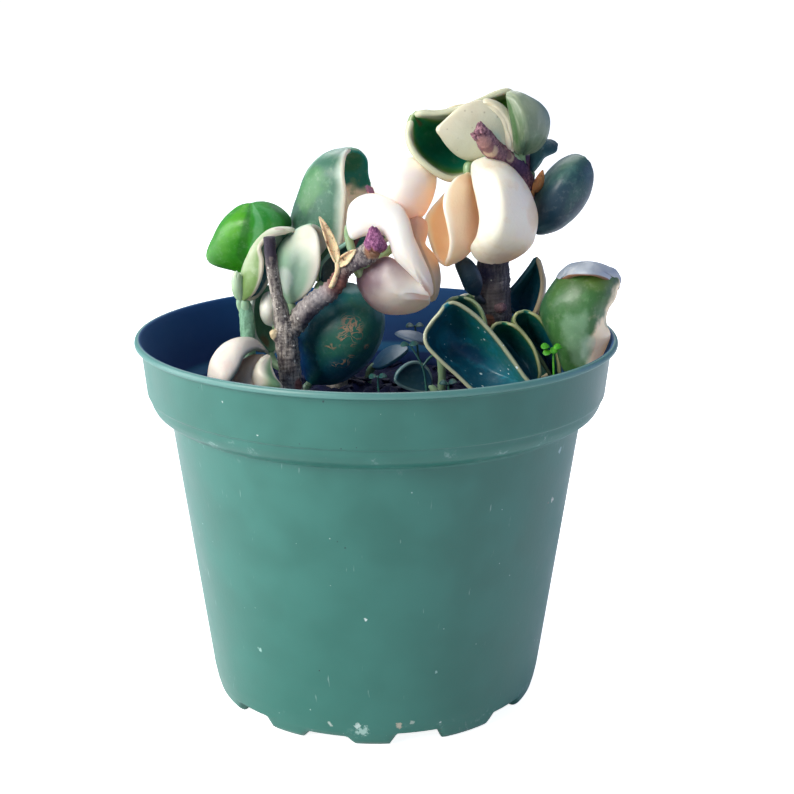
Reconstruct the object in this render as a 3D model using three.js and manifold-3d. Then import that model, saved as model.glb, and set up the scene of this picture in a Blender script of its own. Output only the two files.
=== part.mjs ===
// A potted hoya: thick, folded, cream-edged leaves on short woody stems in a round green nursery pot.
// Millimetres, +Z up. The origin is the centre of the pot's foot on the surface that it stands on,
// -Y is the side that is seen from the front and +X is on the right from there.
import * as THREE from 'three';
import { mergeVertices } from 'three/addons/utils/BufferGeometryUtils.js';
import Module from 'manifold-3d';

const wasm = await Module();
wasm.setup();

// ---------- driving dimensions ----------

const GAP = 0.3; // air between pieces that touch on the real plant

const POT = {
  height: 118,
  rimRadius: 76,
  collarTop: 74,
  collarBottom: 72.3,
  collarDepth: 17.2, // from the rim down to the line under the collar
  shoulderRadius: 65.3,
  shoulderDepth: 24.8,
  footRadius: 51.5,
  footHeight: 5,
  floor: 1.5,
  wall: 1.3,
  sides: 40,
  feet: 10,
  notchAngle: 16.5, // degrees of the foot that each notch takes away
  drainHoles: 5,
  drainRadius: 4,
  drainCircle: 34,
};

const SOIL = {
  top: 92,
  bottom: POT.footHeight + POT.floor + GAP,
  lump: 1.3,
  rings: 3,
  sides: 26,
};

const LEAF = {
  thickness: 1.9,
  smallThickness: 1.4,
  rim: 0.55, // thickness at the edge, as a share of the thickness at the midrib
  neck: 0.12, // width at the stalk, as a share of the full width
  blunt: 0.1, // width at the tip, as a share of the full width
  leastWidth: 1.3,
  endThickness: 0.6, // thickness at both ends, as a share of the middle's
  stalkRadius: 1.3,
  stalkBend: 0.35, // how far the stalk swings ahead of its root, as a share of its reach
  rows: 6,
  columns: 6,
  smallRows: 5,
  smallColumns: 4,
};

// How a leaf's outline runs: where it is widest, as a share of its length, and how pointed its ends are.
const OUTLINES = {
  round: { widest: 0.48, point: 0.5 },
  full: { widest: 0.56, point: 0.45 },
  square: { widest: 0.5, point: 0.36 },
  oval: { widest: 0.41, point: 0.7 },
  early: { widest: 0.32, point: 0.7 },
};

const COLOURS = {
  pot_plastic: 0x6f9f92,
  soil: 0x2a2230,
  bark: 0x6b5650,
  purple_bark: 0x4f3550,
  young_stem: 0xa9c3a0,
  leaf_green: 0x5f9a50,
  leaf_dark: 0x1d5a52,
  leaf_pale: 0xc9d3b4,
  leaf_cream: 0xf2e4d0,
  dry_bract: 0xc9a878,
  weed_green: 0x6fb344,
};

// ---------- stems: each run lists its points and its radius at each ----------

const STEMS = {
  stem_left: {
    slot: 'bark',
    knots: 0.07,
    runs: [
      {
        at: [[-24, 0, 68], [-24, 0, 92], [-25, 0, 103], [-27, 0, 114], [-28.5, 0, 121]],
        radius: [4.6, 4.6, 4.1, 4, 3.8],
      },
      { at: [[-27.5, 0, 116], [-30, -1.5, 131], [-33, -3, 147]], radius: [3.4, 2.8, 2.7] },
      {
        at: [[-28, 0, 117], [-22, -1, 125.5], [-15, -2, 131.5], [-9, -3, 136], [-3, -5, 141],
          [-0.5, -5, 146], [-0.5, -5, 150], [-1, -5, 153.5]],
        radius: [3.8, 3.5, 3.3, 3.3, 3.8, 3.2, 2.6, 0.7],
      },
    ],
  },
  stem_right: {
    slot: 'bark',
    knots: 0.05,
    runs: [
      {
        at: [[38, 17, 68], [38.5, 17.5, 92], [38, 16, 125], [38.5, 14.5, 139],
          [44, 14, 146.5], [48.5, 13, 156]],
        radius: [5.2, 5.2, 4.8, 4.3, 3.2, 2.7],
      },
      {
        at: [[48.5, 13, 155], [44, 12, 164], [38.5, 7, 172], [33, -3, 181], [31, -6, 184.5]],
        radius: [2.7, 2.7, 2.6, 2.6, 1],
      },
      { at: [[48.5, 13, 155], [48, 13, 163], [46.5, 12, 170]], radius: [2.3, 2.1, 2] },
      { at: [[40, 15.5, 119], [42.5, 14.5, 122], [44.5, 13.5, 123.5]], radius: [2.4, 2, 1.2] },
    ],
  },
  stem_young: {
    slot: 'young_stem',
    knots: 0.03,
    runs: [
      {
        at: [[-39, 3, 72], [-39.5, 3.5, 92], [-40, 4, 111], [-41, 4.5, 124.5]],
        radius: [2.6, 2.5, 2.4, 2.2],
      },
    ],
  },
  stem_low: {
    slot: 'bark',
    knots: 0.05,
    runs: [{ at: [[52, -5, 74], [52, -6, 92], [52, -8, 98]], radius: [3.2, 3.1, 2.6] }],
  },
  stem_back: {
    slot: 'bark',
    knots: 0.05,
    runs: [
      { at: [[-13, 30, 68], [-13, 30, 92], [-13, 29.5, 113], [-12, 28, 133]], radius: [3.6, 3.5, 3.2, 2.6] },
    ],
  },
  shoot_tip: {
    slot: 'purple_bark',
    knots: 0,
    runs: [
      {
        at: [[-9, 2.5, 139.5], [-7, 4, 148], [-4.5, 5, 157], [-2, 4, 162.5], [-1.5, 3.5, 165.5]],
        radius: [0.9, 0.8, 0.8, 1.3, 0.6],
      },
    ],
  },
};

// ---------- leaves ----------
// base and tip are the ends of the midrib, back is the middle of the midrib, and left and right
// are the steps from there to the two edges where the leaf is widest. from is the point in the
// stem or in the soil that the stalk grows out of. fold turns the sections with a bent midrib.

const LEAVES = {
  // left group
  leaf_left_high: {
    slot: 'leaf_green', outline: 'round',
    from: [-41, 5, 123], base: [-42, 22, 132], tip: [-41, 22, 155],
    back: [-41, 14, 144], left: [-14, 6, -4], right: [11, 8, 1],
  },
  leaf_left_curl: {
    slot: 'leaf_pale', outline: 'round',
    from: [-41, 4.5, 122], base: [-41, 4, 128], tip: [-27, 9, 148],
    back: [-40, 7, 139], left: [5, -6, -1], right: [9, 7, 1],
  },
  leaf_left_small: {
    slot: 'leaf_pale', outline: 'oval', small: true,
    from: [-41, 4.5, 121], base: [-45, 3, 126.5], tip: [-46, 2, 135],
    back: [-46, 2.5, 131], left: [-1.5, 1.5, 0], right: [1.8, 1, -1],
  },
  leaf_fork_pale: {
    slot: 'leaf_pale', outline: 'round',
    from: [-27, 0, 119], base: [-26, 6, 126], tip: [-18, 9, 150],
    back: [-27, 11, 140], left: [10, -7, -2], right: [12.5, 1, 2],
  },
  leaf_fork_white: {
    slot: 'leaf_cream', outline: 'oval', small: true,
    from: [-27, 1, 115], base: [-30, 7, 118], tip: [-34, 8, 129],
    back: [-33, 6, 124], left: [-2.5, 2, -1], right: [3, 2.5, -1],
  },
  leaf_left_low: {
    slot: 'leaf_green', outline: 'oval',
    from: [-26, 1, 105], base: [-30, 8, 109], tip: [-38, 12, 129],
    back: [-35.5, 15, 119], left: [-4, -5, -1], right: [7, -5, 2.5],
  },
  leaf_fork_dark: {
    slot: 'leaf_dark', outline: 'oval',
    from: [-17, -1, 130], base: [-17, 6, 128], tip: [-1, 7, 149],
    back: [-9, 11, 138], left: [-3, -4, 3], right: [3.5, -4, -4],
  },
  leaf_scarred: {
    slot: 'leaf_dark', outline: 'round',
    from: [-24, 1, 96], base: [-23, 12, 98], tip: [-5, 16, 131],
    back: [-11, 4, 118], left: [-12, 12, -1], right: [12, 12, -6],
  },
  leaf_rim_cream: {
    slot: 'leaf_cream', outline: 'round',
    from: [-52, -17, 87], base: [-52, -18, 99], tip: [-33, -1, 111.5],
    back: [-45, -10, 115.5], left: [-3, -8, -6], right: [6, 9, -5],
  },
  leaf_rim_inner: {
    slot: 'leaf_cream', outline: 'round', small: true,
    from: [-42, -8, 87], base: [-42, -9, 100], tip: [-34, -3, 109],
    back: [-39, -4, 104], left: [-2.3, -2.7, 3.2], right: [4.1, -0.7, -2.4],
  },
  leaf_rim_small: {
    slot: 'leaf_cream', outline: 'oval', small: true,
    from: [-28, -13, 87], base: [-28, -13, 99], tip: [-32, -12, 111.5],
    back: [-32.5, -15, 105.5], left: [-3.5, 3, -2.5], right: [3.5, 2.5, -2.5],
  },
  // middle group
  leaf_cup_tall: {
    slot: 'leaf_green', outline: 'round',
    from: [-12, 28, 131], base: [-12, 19, 136], tip: [-6, 22, 171],
    back: [-23, 27.5, 156], left: [14, -13.5, 0], right: [20, 3.5, 2],
  },
  leaf_pink_round: {
    slot: 'leaf_cream', outline: 'full',
    from: [-6, -3, 137], base: [9.5, 10, 150], tip: [9, 8, 172.5],
    back: [8, -0.5, 163.5], left: [-11, 10, -1], right: [9.7, 8, -1],
  },
  leaf_hood_white: {
    slot: 'leaf_cream', outline: 'early', fold: 0.6,
    from: [-5, -4, 139], base: [-7, 3, 147], tip: [17, -10, 131],
    back: [3, -12, 156], left: [-3, 5, -5], right: [5, 8, 4],
  },
  leaf_bowl_white: {
    slot: 'leaf_cream', outline: 'round',
    from: [-3, -5, 141], base: [2, -2, 138], tip: [17, -4, 129],
    back: [10.5, 2.5, 129.5], left: [-3.5, -7.5, 11.5], right: [5.5, 7.5, 13.5],
  },
  // right group
  leaf_tan_fold: {
    slot: 'leaf_cream', outline: 'square',
    from: [46, 13, 159], base: [29, 7, 167], tip: [23, 3, 139],
    back: [34, 12, 154], left: [-13, -12, 1], right: [-18, 5, -2],
  },
  leaf_egg_white: {
    slot: 'leaf_cream', outline: 'full',
    from: [42, 10, 167], base: [37, 3, 172], tip: [37, 0, 139],
    back: [38, -14, 158], left: [-9, 13, -3], right: [10, 13, -3],
  },
  leaf_top_cup: {
    slot: 'leaf_dark', outline: 'round',
    from: [46.5, 12, 169.5], base: [44.5, 15, 174], tip: [11, 2, 186],
    back: [28, 20, 178], left: [-9, -7, -12], right: [7, -8, 8],
  },
  leaf_top_pale: {
    slot: 'leaf_pale', outline: 'oval',
    from: [48, 13.5, 162.5], base: [41.5, 7, 174.5], tip: [18, -2, 181],
    back: [32, -1, 181], left: [-3, 6, -8], right: [2, 8, 7.5],
  },
  leaf_top_round: {
    slot: 'leaf_pale', outline: 'full',
    from: [47.5, 10.5, 164], base: [48, 7, 173.5], tip: [43.5, 6, 192],
    back: [49.5, 0.5, 183], left: [-7.5, 5.5, -1], right: [1.8, 9.5, 0],
  },
  leaf_teal_small: {
    slot: 'leaf_dark', outline: 'oval', small: true,
    from: [48, 13, 160], base: [51, 12, 165], tip: [57, 12, 176],
    back: [52.5, 13, 171], left: [-2, 2, 1.5], right: [2.5, 2.5, -3],
  },
  leaf_teal_long: {
    slot: 'leaf_dark', outline: 'full',
    from: [46, 13.5, 150], base: [50, 10, 149], tip: [65.8, 12, 171],
    back: [59, 4, 160], left: [-4, 8, 4], right: [5.5, 8, -4.5],
  },
  leaf_trunk_dark: {
    slot: 'leaf_dark', outline: 'oval', small: true,
    from: [38, 16, 126], base: [33, 12, 128], tip: [26, 8, 140],
    back: [29.5, 8, 134], left: [-2.5, 2, -1.5], right: [2.5, 2, 1.5],
  },
  // low in the pot, at the front and right
  leaf_front_cup: {
    slot: 'leaf_dark', outline: 'square',
    from: [52, -9, 96.5], base: [46, -24, 101], tip: [19.5, -22, 127.5],
    back: [34, -7, 112], left: [-10, -14, 0], right: [3, -14, 11],
  },
  leaf_front_behind: {
    slot: 'leaf_dark', outline: 'round',
    from: [38, 16, 108], base: [37, 8, 112], tip: [23, 6, 127.5],
    back: [31, 13, 120], left: [-5, -5, -2], right: [4, -5, 6],
  },
  leaf_front_middle: {
    slot: 'leaf_green', outline: 'round',
    from: [51.5, -7, 94], base: [48, -9, 99], tip: [33, 0, 122],
    back: [43, 5, 108], left: [-5, -6, -2], right: [4, -6, 9],
  },
  leaf_front_right: {
    slot: 'leaf_green', outline: 'round',
    from: [52, -7, 93], base: [56, -3, 99], tip: [40, 9, 123],
    back: [52, 14, 107.5], left: [-6, -7, -2], right: [3, -7, 10],
  },
  leaf_pointed: {
    slot: 'leaf_dark', outline: 'early',
    from: [39, 17, 108], base: [47, 20, 114], tip: [53, 21, 138],
    back: [48, 28, 125], left: [-5, -4, -1], right: [6.5, -8, 2],
  },
  leaf_rim_tall: {
    slot: 'leaf_green', outline: 'full',
    from: [58, -11, 87], base: [61.5, -11, 98], tip: [66, 2, 139],
    back: [59.5, -14, 124], left: [-9, 12, -1], right: [13, 11, 0],
  },
  leaf_soil_grey: {
    slot: 'leaf_green', outline: 'round', small: true,
    from: [19, 11, 87], base: [18, 10, 97], tip: [6, 4, 102],
    back: [11.5, 8, 100.5], left: [-0.3, -2.6, -3], right: [2.4, -0.8, 5.6],
  },
  leaf_soil_teal: {
    slot: 'leaf_dark', outline: 'oval', small: true,
    from: [-3, 35, 87], base: [-1, 34, 98], tip: [11, 30, 105],
    back: [5, 30, 103], left: [0, -8, -1], right: [0, 8, 1],
  },
  leaf_soil_lilac: {
    slot: 'leaf_pale', outline: 'oval', small: true,
    from: [21, 18, 87], base: [18, 14, 111], tip: [6, 10, 115],
    back: [12, 10, 114], left: [0, -3, -1], right: [0, 3, 1],
  },
  // behind
  leaf_back_trunk: {
    slot: 'leaf_pale', outline: 'round',
    from: [38, 16, 130], base: [38, 24, 138], tip: [34, 30, 168],
    back: [36, 34, 152], left: [-10, -6, 0], right: [10, -6, 0],
  },
  leaf_back_top: {
    slot: 'leaf_green', outline: 'round',
    from: [47, 12, 165], base: [41, 20, 171], tip: [20, 26, 182],
    back: [31, 31, 177], left: [-3, -6, -8], right: [3, -6, 8],
  },
  leaf_back_middle: {
    slot: 'leaf_green', outline: 'round',
    from: [-12, 28, 130], base: [-3, 28, 140], tip: [8, 32, 164],
    back: [3, 39, 151], left: [-8, -6, 0], right: [8, -6, 0],
  },
  leaf_back_left: {
    slot: 'leaf_pale', outline: 'oval',
    from: [-12, 28, 130], base: [-16, 32, 139], tip: [-14, 38, 164],
    back: [-16, 43, 152], left: [-8, -6, 0], right: [7, -6, 0],
  },
  leaf_back_low: {
    slot: 'leaf_dark', outline: 'round',
    from: [-13, 30, 96], base: [-17, 35, 99], tip: [-12, 45, 124],
    back: [-15, 51, 110], left: [-11, -8, 0], right: [10, -8, 0],
  },
  leaf_back_wall: {
    slot: 'leaf_green', outline: 'round',
    from: [52, 19, 87], base: [54, 19, 98], tip: [58, 24, 124],
    back: [60, 27, 113], left: [-7, -7, 0], right: [5, -7, 0],
  },
  leaf_back_inner: {
    slot: 'leaf_dark', outline: 'round',
    from: [36, 34, 87], base: [36, 35, 98], tip: [32, 45, 121],
    back: [34, 48, 108], left: [-10, -7, 0], right: [10, -7, 0],
  },
};

// Dried bracts: a stalk with one or two narrow papery lobes, given as leaves are.
const BRACTS = {
  bract_left: {
    slot: 'dry_bract',
    from: [-11, -3.5, 134],
    lobes: [
      {
        outline: 'oval', base: [-11, -6.5, 141], tip: [-17, -4.5, 156.5],
        back: [-15, -4, 149.5], left: [-1.5, -1.5, -1], right: [2.5, -1.5, 0.5],
      },
      {
        outline: 'oval', base: [-11, -6.5, 141], tip: [-3.5, -9.5, 147],
        back: [-7, -7.5, 143], left: [-0.5, -1.5, 2], right: [0.5, -1.5, -2],
      },
    ],
  },
  bract_right: {
    slot: 'dry_bract',
    from: [48.5, 12.5, 158],
    lobes: [
      {
        outline: 'oval', base: [49.5, 9, 161], tip: [52, 5, 168.5],
        back: [51, 7, 164.5], left: [-1.2, -0.5, 1], right: [1.5, 1, -1],
      },
    ],
  },
};

// Weeds in the soil: a thread of a stem, and leaflets with their middle, their reach and their turn.
const WEEDS = {
  weed_trefoil: {
    stem: [[54.5, -22, 87], [54.5, -21.5, 103], [54, -20, 117]],
    leaflets: [
      { at: [52.1, -20, 116.8], turn: 10 },
      { at: [55.9, -20, 116.9], turn: -8 },
      { at: [54, -18.2, 116.9], turn: 85 },
    ],
  },
  weed_branching: {
    stem: [[17, -10, 87], [16, -10, 100], [14.5, -10, 109], [10.5, -9, 116]],
    branch: [[14.5, -10, 109], [16.5, -9.5, 111.5], [18, -9, 112.5]],
    leaflets: [
      { at: [9, -9, 115.9], turn: 5 },
      { at: [12, -9, 116.1], turn: 15 },
      { at: [19, -9, 112.6], turn: -10 },
    ],
  },
  weed_small: {
    stem: [[1, 1, 87], [1, 0.5, 96], [0.5, 0, 103.5]],
    leaflets: [{ at: [2.2, 0, 103.4], turn: 0 }, { at: [-1, 0, 103.3], turn: 10 }],
  },
  weed_right: {
    stem: [[24, 0, 87], [23.5, -0.5, 95], [23, -1, 101.5]],
    leaflets: [{ at: [24.6, -1, 101.8], turn: 12 }, { at: [21.5, -1, 101.4], turn: -20 }],
  },
  weed_back: {
    stem: [[15, 26, 87], [14.5, 26.5, 100], [13, 27, 114]],
    leaflets: [{ at: [14.6, 27, 114], turn: 0 }, { at: [11.3, 27, 113.9], turn: 5 }],
  },
};

const BRACT = { thickness: 1, stalkRadius: 0.8 };

const WEED = { radius: 0.5, sides: 5, reach: 2.2, width: 1.5, thickness: 0.4 };

// ---------- helpers ----------

const vec = ([x, y, z]) => new THREE.Vector3(x, y, z);

// A closed geometry as a solid that can be joined and cut.
function solidOf(geometry) {
  const bare = geometry.clone();
  bare.deleteAttribute('normal');
  bare.deleteAttribute('uv');
  const merged = mergeVertices(bare, 1e-4);
  const corners = [];
  const index = merged.index.array;
  for (let i = 0; i < index.length; i += 3) {
    const [a, b, c] = [index[i], index[i + 1], index[i + 2]];
    if (a !== b && b !== c && c !== a) corners.push(a, b, c);
  }
  return new wasm.Manifold(new wasm.Mesh({
    numProp: 3,
    vertProperties: new Float32Array(merged.attributes.position.array),
    triVerts: new Uint32Array(corners),
  }));
}

function geometryOf(solid) {
  const { vertProperties, triVerts } = solid.getMesh();
  const geometry = new THREE.BufferGeometry();
  geometry.setAttribute('position', new THREE.BufferAttribute(vertProperties, 3));
  geometry.setIndex(new THREE.BufferAttribute(triVerts, 1));
  geometry.computeVertexNormals();
  return geometry;
}

// The largest body of a solid: a scrap that a cut leaves loose is dropped.
function largest(solid) {
  return solid.decompose().reduce((big, body) => (body.volume() > big.volume() ? body : big));
}

// ---------- stems ----------

// A closed limb of round sections along a smooth run of points. Each point has its own radius,
// and knots swells the sections unevenly, as bark does.
function limb(points, radii, { sides, steps = 3, knots = 0, extra = 0 }) {
  const curve = new THREE.CatmullRomCurve3(points.map(vec), false, 'centripetal');
  const rows = (points.length - 1) * steps;
  const frames = [];
  let along = curve.getTangent(0);
  let side = new THREE.Vector3(0.3, 1, 0.2).cross(along).normalize();
  for (let row = 0; row <= rows; row += 1) {
    const next = curve.getTangent(row / rows);
    const turn = new THREE.Quaternion().setFromUnitVectors(along, next);
    side = side.clone().applyQuaternion(turn);
    along = next;
    const spot = (row / rows) * (radii.length - 1);
    const first = Math.min(Math.floor(spot), radii.length - 2);
    const radius = THREE.MathUtils.lerp(radii[first], radii[first + 1], spot - first);
    const beyond = row === 0 ? -extra : row === rows ? extra : 0;
    const centre = curve.getPoint(row / rows).addScaledVector(along, beyond);
    frames.push({ centre, side, other: along.clone().cross(side), radius });
  }
  const geometry = new THREE.CylinderGeometry(1, 1, 1, sides, rows);
  const place = geometry.attributes.position;
  for (let i = 0; i < place.count; i += 1) {
    const row = Math.round((place.getY(i) + 0.5) * rows);
    const { centre, side: a, other: b, radius } = frames[row];
    const around = Math.round(Math.atan2(place.getX(i), place.getZ(i)) * 3);
    const swell = 1 + knots * Math.sin(row * 2.4 + around * 1.7);
    const reach = radius * swell + extra;
    const point = centre.clone()
      .addScaledVector(a, place.getX(i) * reach)
      .addScaledVector(b, -place.getZ(i) * reach);
    place.setXYZ(i, point.x, point.y, point.z);
  }
  return solidOf(geometry);
}

function stemSolid({ runs, knots }, extra) {
  const limbs = runs.map(({ at, radius }) => limb(at, radius, { sides: 8, steps: 2, knots, extra }));
  return limbs.reduce((whole, one) => whole.add(one));
}

// ---------- leaves ----------

// The middle surface of a blade: u runs along the midrib from 0 to 1, v across it from -1 to 1.
// Across, each half is a quarter of an ellipse from the midrib up to its edge, flatter at the ends.
function bladeSurface({ base, tip, back, left, right, outline, fold = 0 }) {
  const start = vec(base);
  const end = vec(tip);
  const bow = vec(back).multiplyScalar(2).addScaledVector(start, -0.5).addScaledVector(end, -0.5);
  const chord = end.clone().sub(start).normalize();
  let edges = [vec(left), vec(right)];
  const facing = edges[1].clone().sub(edges[0]).cross(chord).negate();
  if (facing.dot(edges[0].clone().add(edges[1])) < 0) edges = edges.reverse();
  const span = edges[0].distanceTo(edges[1]);
  const { widest, point } = OUTLINES[outline];
  const skew = Math.log(0.5) / Math.log(widest);
  return (u, v) => {
    const rib = start.clone().multiplyScalar((1 - u) ** 2)
      .addScaledVector(bow, 2 * u * (1 - u))
      .addScaledVector(end, u * u);
    const along = bow.clone().sub(start).multiplyScalar(1 - u)
      .addScaledVector(end.clone().sub(bow), u)
      .normalize();
    const full = new THREE.Quaternion().setFromUnitVectors(chord, along);
    const turn = new THREE.Quaternion().slerp(full, fold);
    const ends = Math.max(u < 0.5 ? LEAF.neck : LEAF.blunt, LEAF.leastWidth / span);
    const share = Math.max(Math.sin(Math.PI * u ** skew) ** point || 0, ends);
    const [l, r] = edges.map((edge) => edge.clone().applyQuaternion(turn).multiplyScalar(share));
    const across = r.clone().sub(l).normalize();
    const edge = v < 0 ? l : r;
    const sideways = across.clone().multiplyScalar(edge.dot(across));
    const depth = edge.clone().sub(sideways);
    const angle = Math.abs(v) * Math.PI / 2;
    return rib.addScaledVector(sideways, Math.sin(angle))
      .addScaledVector(depth, share * (1 - Math.cos(angle)));
  };
}

// A closed blade: the middle surface thickened both ways, both faces split into triangles alike.
function bladeSolid(leaf) {
  const surface = bladeSurface(leaf);
  const rows = leaf.small ? LEAF.smallRows : LEAF.rows;
  const columns = leaf.small ? LEAF.smallColumns : LEAF.columns;
  const thickness = leaf.thickness ?? (leaf.small ? LEAF.smallThickness : LEAF.thickness);
  const places = [];
  const step = 0.01;
  const endSlim = (u) => LEAF.endThickness + (1 - LEAF.endThickness) * Math.sin(Math.PI * u);
  for (let i = 0; i <= rows; i += 1) {
    const u = (1 - Math.cos(Math.PI * i / rows)) / 2;
    const ribWay = surface(Math.min(u + step, 1), 0).sub(surface(Math.max(u - step, 0), 0)).normalize();
    for (let j = 0; j <= columns; j += 1) {
      const v = j / columns * 2 - 1;
      const across = i === 0 || i === rows ? 0 : v;
      const alongU = surface(Math.min(u + step, 1), across).sub(surface(Math.max(u - step, 0), across));
      const alongV = surface(u, Math.min(across + step, 1)).sub(surface(u, Math.max(across - step, -1)));
      const facing = alongU.clone().cross(alongV).normalize();
      facing.addScaledVector(ribWay, -0.8 * (2 * u - 1) ** 2 * facing.dot(ribWay)).normalize();
      const half = thickness / 2 * (1 - (1 - LEAF.rim) * v * v) * endSlim(u);
      const middle = surface(u, v);
      for (const side of [half, -half]) {
        const point = middle.clone().addScaledVector(facing, side);
        places.push(point.x, point.y, point.z);
      }
    }
  }
  const inner = (i, j) => 2 * (i * (columns + 1) + j);
  const outer = (i, j) => inner(i, j) + 1;
  const faces = [];
  for (let i = 0; i < rows; i += 1) {
    for (let j = 0; j < columns; j += 1) {
      faces.push(inner(i, j), inner(i + 1, j), inner(i + 1, j + 1));
      faces.push(inner(i, j), inner(i + 1, j + 1), inner(i, j + 1));
      faces.push(outer(i, j), outer(i + 1, j + 1), outer(i + 1, j));
      faces.push(outer(i, j), outer(i, j + 1), outer(i + 1, j + 1));
    }
  }
  const border = [];
  for (let i = 0; i < rows; i += 1) border.push([i, 0]);
  for (let j = 0; j < columns; j += 1) border.push([rows, j]);
  for (let i = rows; i > 0; i -= 1) border.push([i, columns]);
  for (let j = columns; j > 0; j -= 1) border.push([0, j]);
  border.forEach((from, k) => {
    const to = border[(k + 1) % border.length];
    faces.push(outer(...from), outer(...to), inner(...to), outer(...from), inner(...to), inner(...from));
  });
  const geometry = new THREE.BufferGeometry();
  geometry.setAttribute('position', new THREE.Float32BufferAttribute(places, 3));
  geometry.setIndex(faces);
  return solidOf(geometry);
}

// The stalk bends from its root into the foot of the blade.
function stalkSolid(leaf, radius, extra) {
  const root = vec(leaf.from);
  const base = vec(leaf.base);
  const tip = vec(leaf.tip);
  const bow = vec(leaf.back).multiplyScalar(2).addScaledVector(base, -0.5).addScaledVector(tip, -0.5);
  const ahead = bow.sub(base).normalize();
  const reach = root.distanceTo(base);
  const bend = base.clone().addScaledVector(ahead, -LEAF.stalkBend * reach);
  const curve = new THREE.QuadraticBezierCurve3(root, bend, base.clone().addScaledVector(ahead, 1.6));
  const points = curve.getPoints(2).map(({ x, y, z }) => [x, y, z]);
  return limb(points, points.map(() => radius), { sides: 5, steps: 1, extra });
}

const rootsInSoil = (from) => from[2] < SOIL.top;

// ---------- the pot ----------

function potSolid() {
  const { height, rimRadius, footRadius, footHeight, floor, wall } = POT;
  const shoulder = height - POT.shoulderDepth;
  const collar = height - POT.collarDepth;
  const profile = [
    [0, footHeight], [footRadius - 2.2, footHeight], [footRadius - 2.2, 0], [footRadius, 0],
    [footRadius + 1, 8], [footRadius + 2.5, 11], [POT.shoulderRadius, shoulder],
    [POT.shoulderRadius + 2.2, shoulder + 1], [POT.collarBottom - 2, collar - 4.8],
    [POT.collarBottom - 0.5, collar - 2.6], [POT.collarBottom, collar], [POT.collarTop, height - 2.4],
    [rimRadius, height - 1.8], [rimRadius, height - 0.8], [rimRadius - 0.5, height],
    [rimRadius - 1.8, height], [rimRadius - 2.6, height - 2.4],
    [POT.collarBottom - 1.7, height - 15], [POT.collarBottom - 3.3, height - 20.4],
    [POT.shoulderRadius + 0.7, height - 21.8], [POT.shoulderRadius - wall, shoulder],
    [footRadius + 2.5 - wall, 11], [footRadius + 0.8 - wall, footHeight + floor], [0, footHeight + floor],
  ].map(([r, z]) => new THREE.Vector2(r, z));
  let pot = solidOf(new THREE.LatheGeometry(profile, POT.sides).rotateX(Math.PI / 2));
  const notchWidth = 2 * footRadius * Math.sin(THREE.MathUtils.degToRad(POT.notchAngle / 2));
  for (let k = 0; k < POT.feet; k += 1) {
    const angle = (k + 0.5) * Math.PI * 2 / POT.feet - Math.PI / 2;
    const notch = new THREE.BoxGeometry(12, notchWidth, 2 * footHeight);
    notch.translate(footRadius, 0, 0).rotateZ(angle);
    pot = pot.subtract(solidOf(notch));
  }
  for (let k = 0; k < POT.drainHoles; k += 1) {
    const angle = (k + 0.5) * Math.PI * 2 / POT.drainHoles;
    const hole = new THREE.CylinderGeometry(POT.drainRadius, POT.drainRadius, 20, 12).rotateX(Math.PI / 2);
    hole.translate(POT.drainCircle * Math.cos(angle), POT.drainCircle * Math.sin(angle), footHeight);
    pot = pot.subtract(solidOf(hole));
  }
  return pot;
}

// Small uneven lumps on top of the soil, level towards the wall of the pot.
function lumpHeight(x, y) {
  const waves = Math.sin(x * 0.31 + 0.7) * Math.cos(y * 0.27) + 0.6 * Math.sin(x * 0.73 - y * 0.61);
  return SOIL.lump * waves * Math.min(1, (62 - Math.hypot(x, y)) / 10);
}

function soilSolid(holes) {
  const { footRadius, wall } = POT;
  const slope = (POT.shoulderRadius - footRadius - 2.5) / (POT.height - POT.shoulderDepth - 11);
  const radiusAt = (z) => footRadius + 2.5 - wall - 2 * GAP + (z - 11) * slope;
  const rim = radiusAt(SOIL.top);
  const profile = [[0, SOIL.bottom], [footRadius - wall, SOIL.bottom], [radiusAt(11), 11.5], [rim, SOIL.top]];
  for (let ring = SOIL.rings - 1; ring >= 0; ring -= 1) profile.push([rim * ring / SOIL.rings, SOIL.top]);
  const points = profile.map(([r, z]) => new THREE.Vector2(r, z));
  const geometry = new THREE.LatheGeometry(points, SOIL.sides).rotateX(Math.PI / 2);
  const place = geometry.attributes.position;
  for (let i = 0; i < place.count; i += 1) {
    const [x, y, z] = [place.getX(i), place.getY(i), place.getZ(i)];
    if (Math.abs(z - SOIL.top) < 0.01 && Math.hypot(x, y) < rim - 1) place.setZ(i, z + lumpHeight(x, y));
  }
  return holes.reduce((soil, hole) => soil.subtract(hole), solidOf(geometry));
}

// ---------- the whole plant ----------

const plant = new THREE.Group();

function place(name, solid, slot) {
  const material = new THREE.MeshStandardMaterial({ color: COLOURS[slot], roughness: 0.5, metalness: 0 });
  const mesh = new THREE.Mesh(geometryOf(solid), material);
  mesh.name = name;
  plant.add(mesh);
}

const holes = [];
place('pot', potSolid(), 'pot_plastic');

const stemClearance = [];
for (const [name, stem] of Object.entries(STEMS)) {
  const grown = stemSolid(stem, GAP);
  stemClearance.push(grown);
  holes.push(grown);
}
const aroundStems = stemClearance.reduce((whole, one) => whole.add(one));

for (const [name, stem] of Object.entries(STEMS)) {
  let solid = stemSolid(stem, 0);
  if (name === 'shoot_tip') solid = largest(solid.subtract(stemSolid(STEMS.stem_left, GAP)));
  place(name, solid, stem.slot);
}

for (const [name, leaf] of Object.entries(LEAVES)) {
  const whole = bladeSolid(leaf).add(stalkSolid(leaf, LEAF.stalkRadius, 0));
  place(name, largest(whole.subtract(aroundStems)), leaf.slot);
  if (rootsInSoil(leaf.from)) holes.push(stalkSolid(leaf, LEAF.stalkRadius, GAP));
}

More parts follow.
